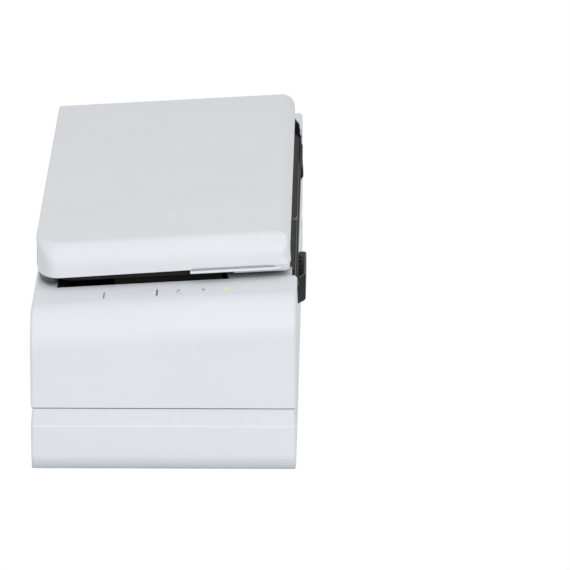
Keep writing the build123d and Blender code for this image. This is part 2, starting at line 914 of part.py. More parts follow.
with BuildPart() as front_drive_rollers:
    add(roller_set(front_axis, drive_radius, shaft_radius, roller_places, roller_width))
front_drive_rollers.part.label = "front_drive_rollers"
export_step(front_drive_rollers.part, "parts/front_drive_rollers.step")

with BuildPart() as rear_drive_rollers:
    add(roller_set(rear_axis, drive_radius, shaft_radius, roller_places, roller_width))
rear_drive_rollers.part.label = "rear_drive_rollers"
export_step(rear_drive_rollers.part, "parts/rear_drive_rollers.step")

with BuildPart() as front_pulley:
    add(hollow_roller((pulley_x, pulley_x + belt_width), front_axis, pulley_radius, shaft_radius))
front_pulley.part.label = "front_pulley"
export_step(front_pulley.part, "parts/front_pulley.step")

with BuildPart() as rear_pulley:
    add(hollow_roller((pulley_x, pulley_x + belt_width), rear_axis, pulley_radius, shaft_radius))
rear_pulley.part.label = "rear_pulley"
export_step(rear_pulley.part, "parts/rear_pulley.step")

# Belt from the rear pulley to the front one
with BuildPart() as drive_belt:
    with BuildSketch(Plane.YZ.offset(pulley_x)):
        with Locations(((front_axis[0] + rear_axis[0]) / 2, drive_axis_height)):
            SlotCenterToCenter(
                rear_axis[0] - front_axis[0],
                2 * (pulley_radius + belt_gap + belt_thickness),
            )
            SlotCenterToCenter(
                rear_axis[0] - front_axis[0],
                2 * (pulley_radius + belt_gap),
                mode=Mode.SUBTRACT,
            )
    extrude(amount=belt_width)
drive_belt.part.label = "drive_belt"
export_step(drive_belt.part, "parts/drive_belt.step")

# Gears on the rear shaft: the large one from the motor, the small one up to the feeder
with BuildPart() as rear_drive_gear:
    toothed_wheel(
        (train_gear_x, train_gear_x + gear_width), rear_axis[0], rear_axis[1], rear_drive_teeth, motor_angle
    )
    rod(
        (train_gear_x, train_gear_x + gear_width),
        rear_axis[0],
        rear_axis[1],
        shaft_radius,
        mode=Mode.SUBTRACT,
    )
rear_drive_gear.part.label = "rear_drive_gear"
export_step(rear_drive_gear.part, "parts/rear_drive_gear.step")

with BuildPart() as transfer_gear:
    toothed_wheel(
        (transfer_x, transfer_x + gear_width), rear_axis[0], rear_axis[1], transfer_teeth, middle_angle
    )
    rod((transfer_x, transfer_x + gear_width), rear_axis[0], rear_axis[1], shaft_radius, mode=Mode.SUBTRACT)
transfer_gear.part.label = "transfer_gear"
export_step(transfer_gear.part, "parts/transfer_gear.step")

# Motor on its bracket, with the pinion on its shaft
with BuildPart() as motor_bracket:
    block(
        (bracket_x, bracket_x + side_frame),
        (motor_axis[0] - motor_radius - 2, motor_axis[0] + motor_radius + 2),
        (floor_height, motor_axis[1] + motor_radius + 2),
    )
    block(
        (bracket_x, bracket_x + bracket_foot),
        (motor_axis[0] - motor_radius - 2, motor_axis[0] + motor_radius + 2),
        (floor_height, floor_height + side_frame),
    )
    rod(
        (bracket_x - 1, bracket_x + side_frame + 1),
        motor_axis[0],
        motor_axis[1],
        motor_boss_radius,
        mode=Mode.SUBTRACT,
    )
motor_bracket.part.label = "motor_bracket"
export_step(motor_bracket.part, "parts/motor_bracket.step")

motor_x = bracket_x + side_frame
with BuildPart() as drive_motor:
    rod((motor_x, motor_x + motor_length), motor_axis[0], motor_axis[1], motor_radius)
    fillet(drive_motor.edges().filter_by(GeomType.CIRCLE), motor_edge)
    rod((bracket_x, motor_x), motor_axis[0], motor_axis[1], motor_boss_radius)
    rod(
        (bracket_x - 1, motor_x + motor_bore),
        motor_axis[0],
        motor_axis[1],
        motor_shaft_radius + running_gap,
        mode=Mode.SUBTRACT,
    )
drive_motor.part.label = "drive_motor"
export_step(drive_motor.part, "parts/drive_motor.step")

pinion_phase = meshed_phase(motor_angle, rear_drive_teeth, motor_angle, motor_teeth)
with BuildPart() as motor_pinion:
    toothed_wheel(
        (train_gear_x, train_gear_x + gear_width), motor_axis[0], motor_axis[1], motor_teeth, pinion_phase
    )
    rod(
        (train_gear_x + gear_width, motor_x + motor_bore - 1),
        motor_axis[0],
        motor_axis[1],
        motor_shaft_radius,
    )
motor_pinion.part.label = "motor_pinion"
export_step(motor_pinion.part, "parts/motor_pinion.step")

frame_front = -half_depth + wall + part_gap


def latch_window():
    """Space through the fascia and the frame behind it, in which the hub of the release lever turns."""
    with BuildPart(mode=Mode.PRIVATE) as window:
        block(
            (latch_low_x - part_gap, latch_high_x + part_gap),
            (-half_depth, frame_front + guide_plate + 1),
            (latch_axis[1] - latch_hub - part_gap, latch_top + latch_room),
        )
    return window.part


# Upper unit: frame that carries the upper half of the paper path and the feeder
frame_end = upper_hinge_y + 2 * upper_pin_radius
deck_bottom_drop = deck_drop + deck_plate
throat_along = along(throat_y, deck_drop)
with BuildPart() as upper_frame:
    for side in (-1, 1):
        side_profile(
            sorted((side * path_half_width, side * unit_half)),
            (
                (frame_front, path_wall_bottom),
                (upper_hinge_y - 4 * upper_pin_radius, path_wall_bottom),
                (frame_end, upper_hinge_height - 2.5),
                (frame_end, height_at(frame_end, deck_bottom_drop)),
                (frame_front, height_at(frame_front, deck_bottom_drop)),
            ),
        )
    block(
        (-unit_half, unit_half),
        (frame_front, feed_wall_y - 2 * feed_wall),
        (upper_guide_bottom, upper_guide_bottom + guide_plate),
    )
    side_profile(
        (-unit_half, unit_half),
        (
            (frame_front, path_wall_bottom),
            (frame_front + guide_plate, path_wall_bottom),
            (frame_front + guide_plate, height_at(frame_front + guide_plate, deck_bottom_drop)),
            (frame_front, height_at(frame_front, deck_bottom_drop)),
        ),
    )
    tilted_block(
        (-unit_half, unit_half),
        (along(frame_front, deck_bottom_drop), throat_along),
        (deck_drop, deck_bottom_drop),
    )
    tilted_block(
        (-middle_half + part_gap, middle_half - part_gap),
        (along(-half_depth + pillar_depth + part_gap, deck_bottom_drop), throat_along),
        (deck_drop, deck_bottom_drop),
    )
    for x in pick_places:
        block(
            (x - pick_width / 2 - window_gap, x + pick_width / 2 + window_gap),
            (pick_axis[0] - pick_radius - window_gap, half_depth),
            (pick_axis[1], front_height),
            mode=Mode.SUBTRACT,
        )
    for y in (front_roller_y, rear_roller_y):
        for x in roller_places:
            block(
                (x - roller_width / 2 - window_gap, x + roller_width / 2 + window_gap),
                (y - idler_radius - window_gap, y + idler_radius + window_gap),
                (upper_guide_bottom - 1, upper_guide_bottom + guide_plate + 1),
                mode=Mode.SUBTRACT,
            )
        block(
            (-path_half_width, path_half_width),
            (y - idler_shaft_radius - slide_gap, y + idler_shaft_radius + slide_gap),
            (upper_guide_bottom - 1, upper_guide_bottom + guide_plate + 1),
            mode=Mode.SUBTRACT,
        )
    block(
        (-path_half_width, path_half_width),
        (
            upper_sensor_y - sensor_depth / 2 - slide_gap,
            upper_sensor_y + sensor_depth / 2 + slide_gap,
        ),
        (upper_guide_bottom - 1, upper_guide_bottom + guide_plate + 1),
        mode=Mode.SUBTRACT,
    )
    add(latch_window(), mode=Mode.SUBTRACT)
    block(
        (unit_half, middle_half),
        (pick_axis[0] - pitch_radius(pick_teeth) - 2 * gear_module, half_depth),
        (pick_axis[1], front_height),
        mode=Mode.SUBTRACT,
    )
    through = (-middle_half, middle_half)
    rod(through, upper_hinge_y, upper_hinge_height, upper_pin_radius + running_gap, mode=Mode.SUBTRACT)
    rod(through, front_roller_y, idler_axis_height, idler_shaft_radius + running_gap, mode=Mode.SUBTRACT)
    rod(through, rear_roller_y, idler_axis_height, idler_shaft_radius + running_gap, mode=Mode.SUBTRACT)
    rod(through, pick_axis[0], pick_axis[1], shaft_radius + running_gap, mode=Mode.SUBTRACT)
    rod((0, middle_half), middle_axis[0], middle_axis[1], gear_axle_radius, mode=Mode.SUBTRACT)
upper_frame.part.label = "upper_frame"
export_step(upper_frame.part, "parts/upper_frame.step")

# Pins on which the upper unit swings, held in the end casings
with BuildPart() as upper_hinge_pins:
    for side in (-1, 1):
        rod(
            sorted((side * path_half_width, side * (middle_half + wall))),
            upper_hinge_y,
            upper_hinge_height,
            upper_pin_radius,
        )
upper_hinge_pins.part.label = "upper_hinge_pins"
export_step(upper_hinge_pins.part, "parts/upper_hinge_pins.step")

# Rear wall of the feed throat, with a window for the brake rollers
with BuildPart() as rear_feed_guide:
    side_profile(
        (-path_half_width + slide_gap, path_half_width - slide_gap),
        (
            (feed_wall_y, upper_guide_bottom + 1),
            (feed_wall_y, throat_corner_height),
            (feed_wall_y + throat_flare, height_at(feed_wall_y + throat_flare, casing_drop) - 1),
            (feed_wall_y + throat_flare + feed_wall, height_at(feed_wall_y + throat_flare, casing_drop) - 1),
            (feed_wall_y + feed_wall, throat_corner_height),
            (feed_wall_y + feed_wall, upper_guide_bottom + 1),
        ),
    )
    window_reach = pick_places[1] + pick_width / 2 + 3 * window_gap
    block(
        (-window_reach, window_reach),
        (feed_wall_y - 1, feed_wall_y + feed_wall + 1),
        (brake_axis[1] - brake_radius - window_gap, brake_axis[1] + brake_radius + window_gap),
        mode=Mode.SUBTRACT,
    )
rear_feed_guide.part.label = "rear_feed_guide"
export_step(rear_feed_guide.part, "parts/rear_feed_guide.step")

# White rear cover of the upper unit, with slots for the lid's hinge brackets
cover_top_end = feed_wall_y + throat_flare + feed_wall + part_gap
with BuildPart() as rear_cover:
    side_profile(
        (-middle_half + part_gap, middle_half - part_gap),
        (
            (half_depth, mouth_top),
            (half_depth, height_at(half_depth, casing_drop)),
            (cover_top_end, height_at(cover_top_end, casing_drop)),
            (cover_top_end, height_at(cover_top_end, casing_drop + upper_wall)),
            (half_depth - wall, height_at(half_depth - wall, casing_drop + upper_wall)),
            (half_depth - wall, mouth_top),
        ),
    )
    top_edge = rear_cover.edges().filter_by(Axis.X).sort_by(Axis.Y)[-2:].sort_by(Axis.Z)[-1]
    fillet(top_edge, casing_edge_radius)
    for side in (-1, 1):
        block(
            (
                side * hinge_arm_x - hinge_arm_width / 2 - slide_gap,
                side * hinge_arm_x + hinge_arm_width / 2 + slide_gap,
            ),
            (lid_hinge_y - hinge_stem / 2 - slide_gap, lid_hinge_y + hinge_stem / 2 + slide_gap),
            (throat_corner_height, front_height),
            mode=Mode.SUBTRACT,
        )
rear_cover.part.label = "rear_cover"
export_step(rear_cover.part, "parts/rear_cover.step")

# Brackets that carry the lid's hinge, screwed inside the rear cover
lid_axis = (lid_hinge_y, height_at(lid_hinge_y, lid_hinge_drop))
with BuildPart() as lid_hinge_brackets:
    for side in (-1, 1):
        arm = (side * hinge_arm_x - hinge_arm_width / 2, side * hinge_arm_x + hinge_arm_width / 2)
        block(
            arm,
            (lid_hinge_y - hinge_stem / 2, lid_hinge_y + hinge_stem / 2),
            (bracket_bottom, lid_axis[1]),
        )
        rod(arm, lid_axis[0], lid_axis[1], hinge_eye_radius)
        block(
            arm,
            (lid_hinge_y, half_depth - wall),
            (bracket_bottom, bracket_bottom + bracket_web),
        )
        block(
            (arm[0] - bracket_ear, arm[1] + bracket_ear),
            (half_depth - wall - side_frame, half_depth - wall),
            (bracket_bottom, bracket_bottom + bracket_web),
        )
        rod(
            (arm[0] - 1, arm[1] + 1),
            lid_axis[0],
            lid_axis[1],
            lid_pin_radius + running_gap,
            mode=Mode.SUBTRACT,
        )
lid_hinge_brackets.part.label = "lid_hinge_brackets"
export_step(lid_hinge_brackets.part, "parts/lid_hinge_brackets.step")

# White front bezel above the slot
bezel_back = frame_front
with BuildPart() as front_bezel:
    side_profile(
        (-unit_half, unit_half),
        (
            (-half_depth, mouth_top + bezel_lip),
            (-half_depth + bezel_lip, mouth_top),
            (bezel_back, mouth_top),
            (bezel_back, mouth_top + upper_wall),
            (-half_depth + upper_wall, mouth_top + upper_wall),
            (-half_depth + upper_wall, bezel_top - upper_wall),
            (bezel_back, bezel_top - upper_wall),
            (bezel_back, bezel_top),
            (-half_depth, bezel_top),
        ),
    )
front_bezel.part.label = "front_bezel"
export_step(front_bezel.part, "parts/front_bezel.step")

# Black fascia above the bezel: upright, then sloping back under the lid's front edge, with a horn at one end
fascia_face = -half_depth + fascia_recess
fascia_top_drop = lid_thickness + tray_drop + tray_gap
slope_y = fascia_face + fascia_setback
crest_y = slope_y + fascia_lean
ledge_top_drop = casing_drop + ledge_drop
horn_y = slope_y + horn_setback
ridge_height = height_at(slope_y, ridge_drop)
with BuildPart() as front_fascia:
    side_profile(
        (-unit_half, unit_half),
        (
            (fascia_face, bezel_top),
            (fascia_face, height_at(fascia_face, fascia_face_drop)),
            (slope_y, ridge_height),
            (crest_y, height_at(crest_y, fascia_top_drop)),
            (crest_y + upper_wall, height_at(crest_y + upper_wall, fascia_top_drop)),
            (slope_y + upper_wall, height_at(slope_y + upper_wall, deck_drop)),
            (frame_front, height_at(frame_front, deck_drop)),
            (frame_front, bezel_top),
        ),
    )
    rod((-unit_half, unit_half), slope_y, ridge_height, ridge_radius)
    side_profile(
        (unit_half - cheek_length, unit_half),
        (
            (fascia_face, ridge_height),
            (fascia_face - cheek_reach, cheek_bottom),
            (-half_depth, cheek_bottom),
            (-half_depth, bezel_top),
            (fascia_face + upper_wall, bezel_top),
            (fascia_face + upper_wall, ridge_height),
        ),
    )
    side_profile(
        (unit_half - horn_length, unit_half),
        (
            (slope_y, ridge_height),
            (horn_y, height_at(horn_y, horn_front_drop)),
            (horn_y + horn_depth, height_at(horn_y, horn_rear_drop)),
            (horn_y + horn_depth, height_at(horn_y, fascia_face_drop)),
            (slope_y + upper_wall, ridge_height),
        ),
    )
    tilted_block(
        (-middle_half, -unit_half + ledge_reach + part_gap),
        (along(fascia_face, ledge_top_drop), along(frame_front, ledge_top_drop) + upper_wall + 2),
        (0, ledge_top_drop + ledge_plate + part_gap),
        mode=Mode.SUBTRACT,
    )
    add(latch_window(), mode=Mode.SUBTRACT)
    for ear_x in (
        (-unit_half, latch_low_x - part_gap),
        (latch_high_x + part_gap, latch_high_x + part_gap + latch_ear),
    ):
        block(
            ear_x,
            (latch_axis[0] - latch_ear / 2, frame_front),
            (latch_axis[1] - latch_ear / 2, latch_axis[1] + latch_ear / 2),
        )
    rod(
        (-unit_half - 1, latch_high_x + part_gap + latch_ear),
        latch_axis[0],
        latch_axis[1],
        latch_pin_radius,
        mode=Mode.SUBTRACT,
    )
front_fascia.part.label = "front_fascia"
export_step(front_fascia.part, "parts/front_fascia.step")


# White ledge at the front corner beside the control panel, level with the end casing
with BuildPart() as corner_ledge:
    ledge_inner = -unit_half + ledge_reach
    ledge_outer = -middle_half + part_gap
    ledge_front_along = along(-half_depth + ledge_front, ledge_top_drop)
    ledge_rear_along = along(-half_depth + pillar_depth, ledge_top_drop)
    with BuildSketch(top_plane.offset(-ledge_top_drop - ledge_plate)):
        with BuildLine():
            Polyline(
                (ledge_outer, ledge_front_along),
                (ledge_outer, ledge_rear_along),
                (ledge_inner, ledge_rear_along + ledge_slant),
                (ledge_inner, ledge_front_along),
                close=True,
            )
        make_face()
    extrude(amount=ledge_plate)
    tilted_block(
        (-unit_half, ledge_inner),
        (along(frame_front + guide_plate, deck_drop), ledge_rear_along),
        (ledge_top_drop + ledge_plate / 2, deck_drop),
    )
corner_ledge.part.label = "corner_ledge"
export_step(corner_ledge.part, "parts/corner_ledge.step")

# Release lever of the upper unit, on its pin in the fascia
lever_face = -half_depth - latch_reach
with BuildPart() as latch_lever:
    side_profile(
        (latch_low_x, latch_high_x),
        (
            (lever_face, latch_bottom + latch_thickness / 2),
            (lever_face, latch_top - latch_chamfer),
            (lever_face + latch_chamfer, latch_top),
            (latch_axis[0], latch_axis[1] + latch_hub),
            (latch_axis[0], latch_axis[1] - latch_hub),
            (lever_face + latch_thickness, latch_axis[1] - latch_hub),
            (lever_face + latch_thickness, latch_bottom),
            (lever_face + latch_thickness / 2, latch_bottom),
        ),
    )
    rod((latch_low_x, latch_high_x), latch_axis[0], latch_axis[1], latch_hub)
    rib_pitch = (latch_high_x - latch_low_x) / 2 / latch_ribs
    for index in range(latch_ribs):
        rib_x = latch_high_x - latch_chamfer - (index + 1) * rib_pitch
        block(
            (rib_x, rib_x + rib_pitch / 2),
            (lever_face - latch_rib, lever_face + latch_thickness / 2),
            (latch_bottom + latch_chamfer, latch_top - 2 * latch_chamfer),
        )
    rod(
        (latch_low_x - 1, latch_high_x + 1),
        latch_axis[0],
        latch_axis[1],
        latch_pin_radius + running_gap,
        mode=Mode.SUBTRACT,
    )
latch_lever.part.label = "latch_lever"
export_step(latch_lever.part, "parts/latch_lever.step")

with BuildPart() as latch_pin:
    rod((-unit_half, latch_high_x + part_gap + latch_ear), latch_axis[0], latch_axis[1], latch_pin_radius)
latch_pin.part.label = "latch_pin"
export_step(latch_pin.part, "parts/latch_pin.step")


def idler(y):
    """Idler rollers moulded on one shaft, above the drive rollers."""
    axis = (y, idler_axis_height)
    with BuildPart(mode=Mode.PRIVATE) as body:
        rod((-unit_half + slide_gap, unit_half - slide_gap), axis[0], axis[1], idler_shaft_radius)
        for x in roller_places:
            rod((x - roller_width / 2, x + roller_width / 2), axis[0], axis[1], idler_radius)
    return body.part


with BuildPart() as front_idler:
    add(idler(front_roller_y))
front_idler.part.label = "front_idler"
export_step(front_idler.part, "parts/front_idler.step")

with BuildPart() as rear_idler:
    add(idler(rear_roller_y))
rear_idler.part.label = "rear_idler"
export_step(rear_idler.part, "parts/rear_idler.step")

# Pick shaft with its hubs, rubber tyres and gear
with BuildPart() as pick_shaft:
    rod((-unit_half + slide_gap, transfer_x + gear_width), pick_axis[0], pick_axis[1], shaft_radius)
    for x in pick_places:
        rod((x - pick_width / 2, x + pick_width / 2), pick_axis[0], pick_axis[1], pick_hub_radius)
pick_shaft.part.label = "pick_shaft"
export_step(pick_shaft.part, "parts/pick_shaft.step")

with BuildPart() as pick_tyres:
    add(roller_set(pick_axis, pick_radius, pick_hub_radius, pick_places, pick_width))
pick_tyres.part.label = "pick_tyres"
export_step(pick_tyres.part, "parts/pick_tyres.step")

middle_phase = meshed_phase(middle_angle, transfer_teeth, middle_angle, middle_teeth)
pick_phase = meshed_phase(middle_phase, middle_teeth, pick_angle, pick_teeth)
with BuildPart() as pick_gear:
    toothed_wheel((transfer_x, transfer_x + gear_width), pick_axis[0], pick_axis[1], pick_teeth, pick_phase)
    rod((transfer_x, transfer_x + gear_width), pick_axis[0], pick_axis[1], shaft_radius, mode=Mode.SUBTRACT)
pick_gear.part.label = "pick_gear"
export_step(pick_gear.part, "parts/pick_gear.step")

with BuildPart() as middle_gear:
    toothed_wheel(
        (transfer_x, transfer_x + gear_width), middle_axis[0], middle_axis[1], middle_teeth, middle_phase
    )
    rod(
        (transfer_x, transfer_x + gear_width),
        middle_axis[0],
        middle_axis[1],
        gear_axle_radius + running_gap,
        mode=Mode.SUBTRACT,
    )
middle_gear.part.label = "middle_gear"
export_step(middle_gear.part, "parts/middle_gear.step")

with BuildPart() as middle_gear_axle:
    rod((path_half_width, transfer_x + gear_width), middle_axis[0], middle_axis[1], gear_axle_radius)
middle_gear_axle.part.label = "middle_gear_axle"
export_step(middle_gear_axle.part, "parts/middle_gear_axle.step")

# Brake rollers that hold back all but the first sheet, with their shaft and bracket
brake_end = pick_places[1] + pick_width / 2 + window_gap
brake_ear_x = (brake_end, brake_end + 2 * window_gap - slide_gap)
with BuildPart() as brake_rollers:
    add(roller_set(brake_axis, brake_radius, brake_shaft_radius, pick_places, pick_width))
brake_rollers.part.label = "brake_rollers"
export_step(brake_rollers.part, "parts/brake_rollers.step")

with BuildPart() as brake_shaft:
    rod((-brake_ear_x[1], brake_ear_x[1]), brake_axis[0], brake_axis[1], brake_shaft_radius)
brake_shaft.part.label = "brake_shaft"
export_step(brake_shaft.part, "parts/brake_shaft.step")

with BuildPart() as brake_bracket:
    for side in (-1, 1):
        ear_x = sorted((side * brake_ear_x[0], side * brake_ear_x[1]))
        block(
            ear_x,
            (feed_wall_y + part_gap, half_depth - wall),
            (brake_axis[1] - 2 * brake_shaft_radius, brake_axis[1] + 2 * brake_shaft_radius),
        )
    block(
        (-brake_ear_x[1], brake_ear_x[1]),
        (half_depth - wall - side_frame, half_depth - wall),
        (brake_axis[1] - brake_radius, brake_axis[1] + brake_radius),
    )
    rod(
        (-brake_ear_x[1] - 1, brake_ear_x[1] + 1),
        brake_axis[0],
        brake_axis[1],
        brake_shaft_radius + running_gap,
        mode=Mode.SUBTRACT,
    )
brake_bracket.part.label = "brake_bracket"
export_step(brake_bracket.part, "parts/brake_bracket.step")

# Upper image sensor and its glass, looking down through the upper guide
with BuildPart() as upper_image_sensor:
    add(image_sensor(upper_sensor_y, upper_sensor_bottom, upper_sensor_top))
upper_image_sensor.part.label = "upper_image_sensor"
export_step(upper_image_sensor.part, "parts/upper_image_sensor.step")

with BuildPart() as upper_sensor_glass:
    add(sensor_window(upper_sensor_y, upper_sensor_bottom - glass_proud))
upper_sensor_glass.part.label = "upper_sensor_glass"
export_step(upper_sensor_glass.part, "parts/upper_sensor_glass.step")


def lid_outline(margin):
    """Plan outline of the lid, drawn in by a margin, with large corners at the rear."""
    front = -half_depth + lid_front_inset + margin
    rear = half_depth - margin
    half = lid_half - margin
    with BuildSketch() as outline:
        with Locations((0, (front + rear) / 2)):
            Rectangle(2 * half, rear - front)
        fillet(outline.vertices().group_by(Axis.Y)[-1], lid_rear_corner - margin)
        fillet(outline.vertices().group_by(Axis.Y)[0], lid_front_corner - margin)
    return outline.sketch


def lid_slab(margin, drop):
    """Slab with the lid's outline between two distances below its top."""
    with BuildPart(mode=Mode.PRIVATE) as slab:
        with BuildSketch(top_plane.offset(-drop[1])):
            add(lid_outline(margin))
        extrude(amount=drop[1] - drop[0])
    return slab.part


def lid_section(margin, bottom_drop):
    """Bar along X with the lid's cross-section: rolled front edge, undercut below, plain rear."""
    front = -half_depth + lid_front_inset + margin
    radius = lid_front_radius - margin
    undercut = lid_front_undercut * (bottom_drop - lid_front_face) / (lid_thickness - lid_front_face)
    half = lid_half - margin
    section_plane = Plane(
        origin=(-half, 0, top_middle),
        x_dir=(0, cos(radians(tilt)), -sin(radians(tilt))),
        z_dir=(1, 0, 0),
    )
    with BuildPart(mode=Mode.PRIVATE) as section:
        with BuildSketch(section_plane):
            with BuildLine():
                Polyline(
                    (front, -lid_front_radius),
                    (front, -lid_front_face),
                    (front + undercut, -bottom_drop),
                    (half_depth, -bottom_drop),
                    (half_depth, -margin),
                    (front + radius, -margin),
                )
                RadiusArc((front + radius, -margin), (front, -lid_front_radius), -radius)
            make_face()
        extrude(amount=2 * half)
    return section.part


def lid_form(margin, bottom_drop):
    """Outer form of the lid, whose two ends and front edge roll down, drawn in by a margin."""
    half = lid_half - margin
    with BuildPart(mode=Mode.PRIVATE) as form:
        tilted_block((-half, half), (-half_depth, half_depth), (margin, lid_thickness + 2))
        top_face = form.faces().sort_by(Axis.Z)[-1]
        fillet(top_face.edges().filter_by(Axis.X, reverse=True), lid_thickness - margin)
        add(lid_slab(margin, (margin, bottom_drop)), mode=Mode.INTERSECT)
        add(lid_section(margin, bottom_drop), mode=Mode.INTERSECT)
    return form.part


def hinge_gap(room):
    """Space around each hinge bracket that the lid leaves free, with some room at its sides."""
    with BuildPart(mode=Mode.PRIVATE) as gap:
        for side in (-1, 1):
            tilted_block(
                (
                    side * hinge_arm_x - hinge_arm_width / 2 - room,
                    side * hinge_arm_x + hinge_arm_width / 2 + room,
                ),
                (hinge_along - hinge_eye_radius - room, half_depth + 1),
                (lid_wall + room, lid_thickness + tray_drop + 1),
            )
    return gap.part


def hinge_lug(side, offset):
    """Lug inside the lid at one side of a hinge bracket, with the hole for its pin."""
    near = hinge_arm_x + offset * (hinge_arm_width / 2 + slide_gap)
    far = near + offset * hinge_lug_width
    lug_x = sorted((side * near, side * far))
    with BuildPart(mode=Mode.PRIVATE) as lug:
        rod(lug_x, lid_axis[0], lid_axis[1], hinge_eye_radius)
        tilted_block(
            lug_x,
            (hinge_along - hinge_eye_radius, hinge_along + hinge_eye_radius),
            (lid_wall / 2, lid_hinge_drop),
        )
        rod(lug_x, lid_axis[0], lid_axis[1], lid_pin_radius, mode=Mode.SUBTRACT)
    return lug.part


def tray_rim():
    """Upright rim of the tray, between the tray's floor and the lid."""
    with BuildPart(mode=Mode.PRIVATE) as rim:
        add(lid_slab(tray_inset, (lid_thickness, tray_top_drop)))
        add(lid_slab(tray_inset + lid_wall, (lid_thickness - 1, tray_top_drop)), mode=Mode.SUBTRACT)
    return rim.part


# Lid cover: rolled ends, hinge lugs, finger pull and the slot of the chute extension
with BuildPart() as lid_cover:
    add(lid_form(0, lid_thickness))
    add(lid_form(lid_wall, lid_thickness + 1), mode=Mode.SUBTRACT)
    add(hinge_gap(hinge_room), mode=Mode.SUBTRACT)
    for side in (-1, 1):
        for offset in (-1, 1):
            add(hinge_lug(side, offset))
    tilted_block(
        (-lid_half - pull_reach, -lid_half + lid_wall),
        (-pull_end, -pull_start),
        (lid_thickness - pull_thickness, lid_thickness),
    )
    for side in (-1, 1):
        rail_near = extension_half_width + slide_gap
        rail = (side * rail_near, side * (rail_near + lid_wall))
        ledge = (side * (extension_half_width - lid_wall), rail[1])
        rail_y = (-half_depth + lid_front_inset + lid_front_undercut, extension_rear)
        tilted_block(sorted(rail), rail_y, (lid_wall / 2, extension_drop + extension_thickness + rail_ledge))
        tilted_block(
            sorted(ledge),
            rail_y,
            (
                extension_drop + extension_thickness + slide_gap,
                extension_drop + extension_thickness + rail_ledge,
            ),
        )
    tilted_block(
        (-extension_half_width - slide_gap, extension_half_width + slide_gap),
        (-half_depth, -half_depth + lid_front_inset + lid_front_undercut + lid_wall),
        (extension_drop - slide_gap, extension_drop + extension_thickness + slide_gap),
        mode=Mode.SUBTRACT,
    )
lid_cover.part.label = "lid_cover"
export_step(lid_cover.part, "parts/lid_cover.step")

with BuildPart() as lid_hinge_pins:
    for side in (-1, 1):
        reach = hinge_arm_width / 2 + slide_gap + hinge_lug_width
        rod(
            (side * hinge_arm_x - reach, side * hinge_arm_x + reach),
            lid_axis[0],
            lid_axis[1],
            lid_pin_radius,
        )
lid_hinge_pins.part.label = "lid_hinge_pins"
export_step(lid_hinge_pins.part, "parts/lid_hinge_pins.step")

# Black tray inside the lid, with slots for the side guides and the stub of their pinion
tray_bottom_drop = lid_thickness + tray_drop
tray_top_drop = tray_bottom_drop - tray_thickness
rack_line = pitch_radius(rack_teeth_pinion) + gear_backlash
rack_back = rack_line + gear_module + rack_width
neck_room = guide_travel + neck_length
fence_x = path_half_width + fence_thickness - part_gap
neck_x = fence_x - fence_thickness
with BuildPart() as lid_tray:
    add(lid_slab(tray_inset, (tray_top_drop, tray_bottom_drop)))
    add(tray_rim())
    add(hinge_gap(hinge_room), mode=Mode.SUBTRACT)
    for side in (-1, 1):
        tilted_block(
            sorted((side * (neck_x + slide_gap), side * (neck_x - neck_room - slide_gap))),
            sorted((-side * (rack_back + slide_gap), -side * (rack_back - rack_width - slide_gap))),
            (tray_top_drop - 1, tray_bottom_drop + 1),
            mode=Mode.SUBTRACT,
        )
    with BuildSketch(top_plane.offset(-tray_top_drop)):
        Circle(lid_pin_radius)
    extrude(amount=rack_thickness + 2 * slide_gap)
lid_tray.part.label = "lid_tray"
export_step(lid_tray.part, "parts/lid_tray.step")


def side_guide(side):
    """Side guide: fence and foot under the tray, neck through its slot, rack above it."""
    line = -side * rack_line
    back = -side * rack_back
    rack_drop = (tray_top_drop - slide_gap - rack_thickness, tray_top_drop - slide_gap)
    pitch = pi * gear_module
    half_tooth = pitch / 4 * tooth_fill
    rack_end = side * neck_x
    rack_far = -side * (rack_lead_teeth * pitch)
    body_line = line - side * root_share * gear_module
    with BuildPart(mode=Mode.PRIVATE) as guide:
        tilted_block(
            sorted((side * fence_x, side * (fence_x - fence_thickness))),
            (-guide_reach / 2, guide_reach / 2),
            (tray_bottom_drop + slide_gap, tray_bottom_drop + fence_height),
        )
        tilted_block(
            sorted((side * fence_x, side * (fence_x - guide_foot))),
            (-guide_reach / 2, guide_reach / 2),
            (tray_bottom_drop + slide_gap, tray_bottom_drop + slide_gap + guide_foot_thickness),
        )
        tilted_block(
            sorted((side * neck_x, side * (neck_x - neck_length))),
            sorted((back, back + side * rack_width)),
            (rack_drop[0], tray_bottom_drop + slide_gap),
        )
        tilted_block(sorted((rack_end, rack_far)), sorted((back, body_line)), rack_drop)
        with BuildSketch(top_plane.offset(-rack_drop[1])) as teeth:
            for index in range(-rack_lead_teeth, int(neck_x / pitch) - 1):
                with Locations((side * (index + 0.5) * pitch, line)):
                    Polygon(
                        (-half_tooth * foot_spread, -side * root_share * gear_module),
                        (-half_tooth * tip_spread, side * tip_share * gear_module),
                        (half_tooth * tip_spread, side * tip_share * gear_module),
                        (half_tooth * foot_spread, -side * root_share * gear_module),
                        align=None,
                    )
        extrude(teeth.sketch, amount=rack_thickness)
    return guide.part


with BuildPart() as left_side_guide:
    add(side_guide(-1))
left_side_guide.part.label = "left_side_guide"
export_step(left_side_guide.part, "parts/left_side_guide.step")

with BuildPart() as right_side_guide:
    add(side_guide(1))
right_side_guide.part.label = "right_side_guide"
export_step(right_side_guide.part, "parts/right_side_guide.step")

with BuildPart() as guide_pinion:
    with BuildSketch(top_plane.offset(-tray_top_drop + slide_gap)):
        Circle(pitch_radius(rack_teeth_pinion) - root_share * gear_module)
        with PolarLocations(0, rack_teeth_pinion):
            Polygon(*tooth_outline(rack_teeth_pinion), align=None)
        Circle(lid_pin_radius + running_gap, mode=Mode.SUBTRACT)
    extrude(amount=rack_thickness)
guide_pinion.part.label = "guide_pinion"
export_step(guide_pinion.part, "parts/guide_pinion.step")

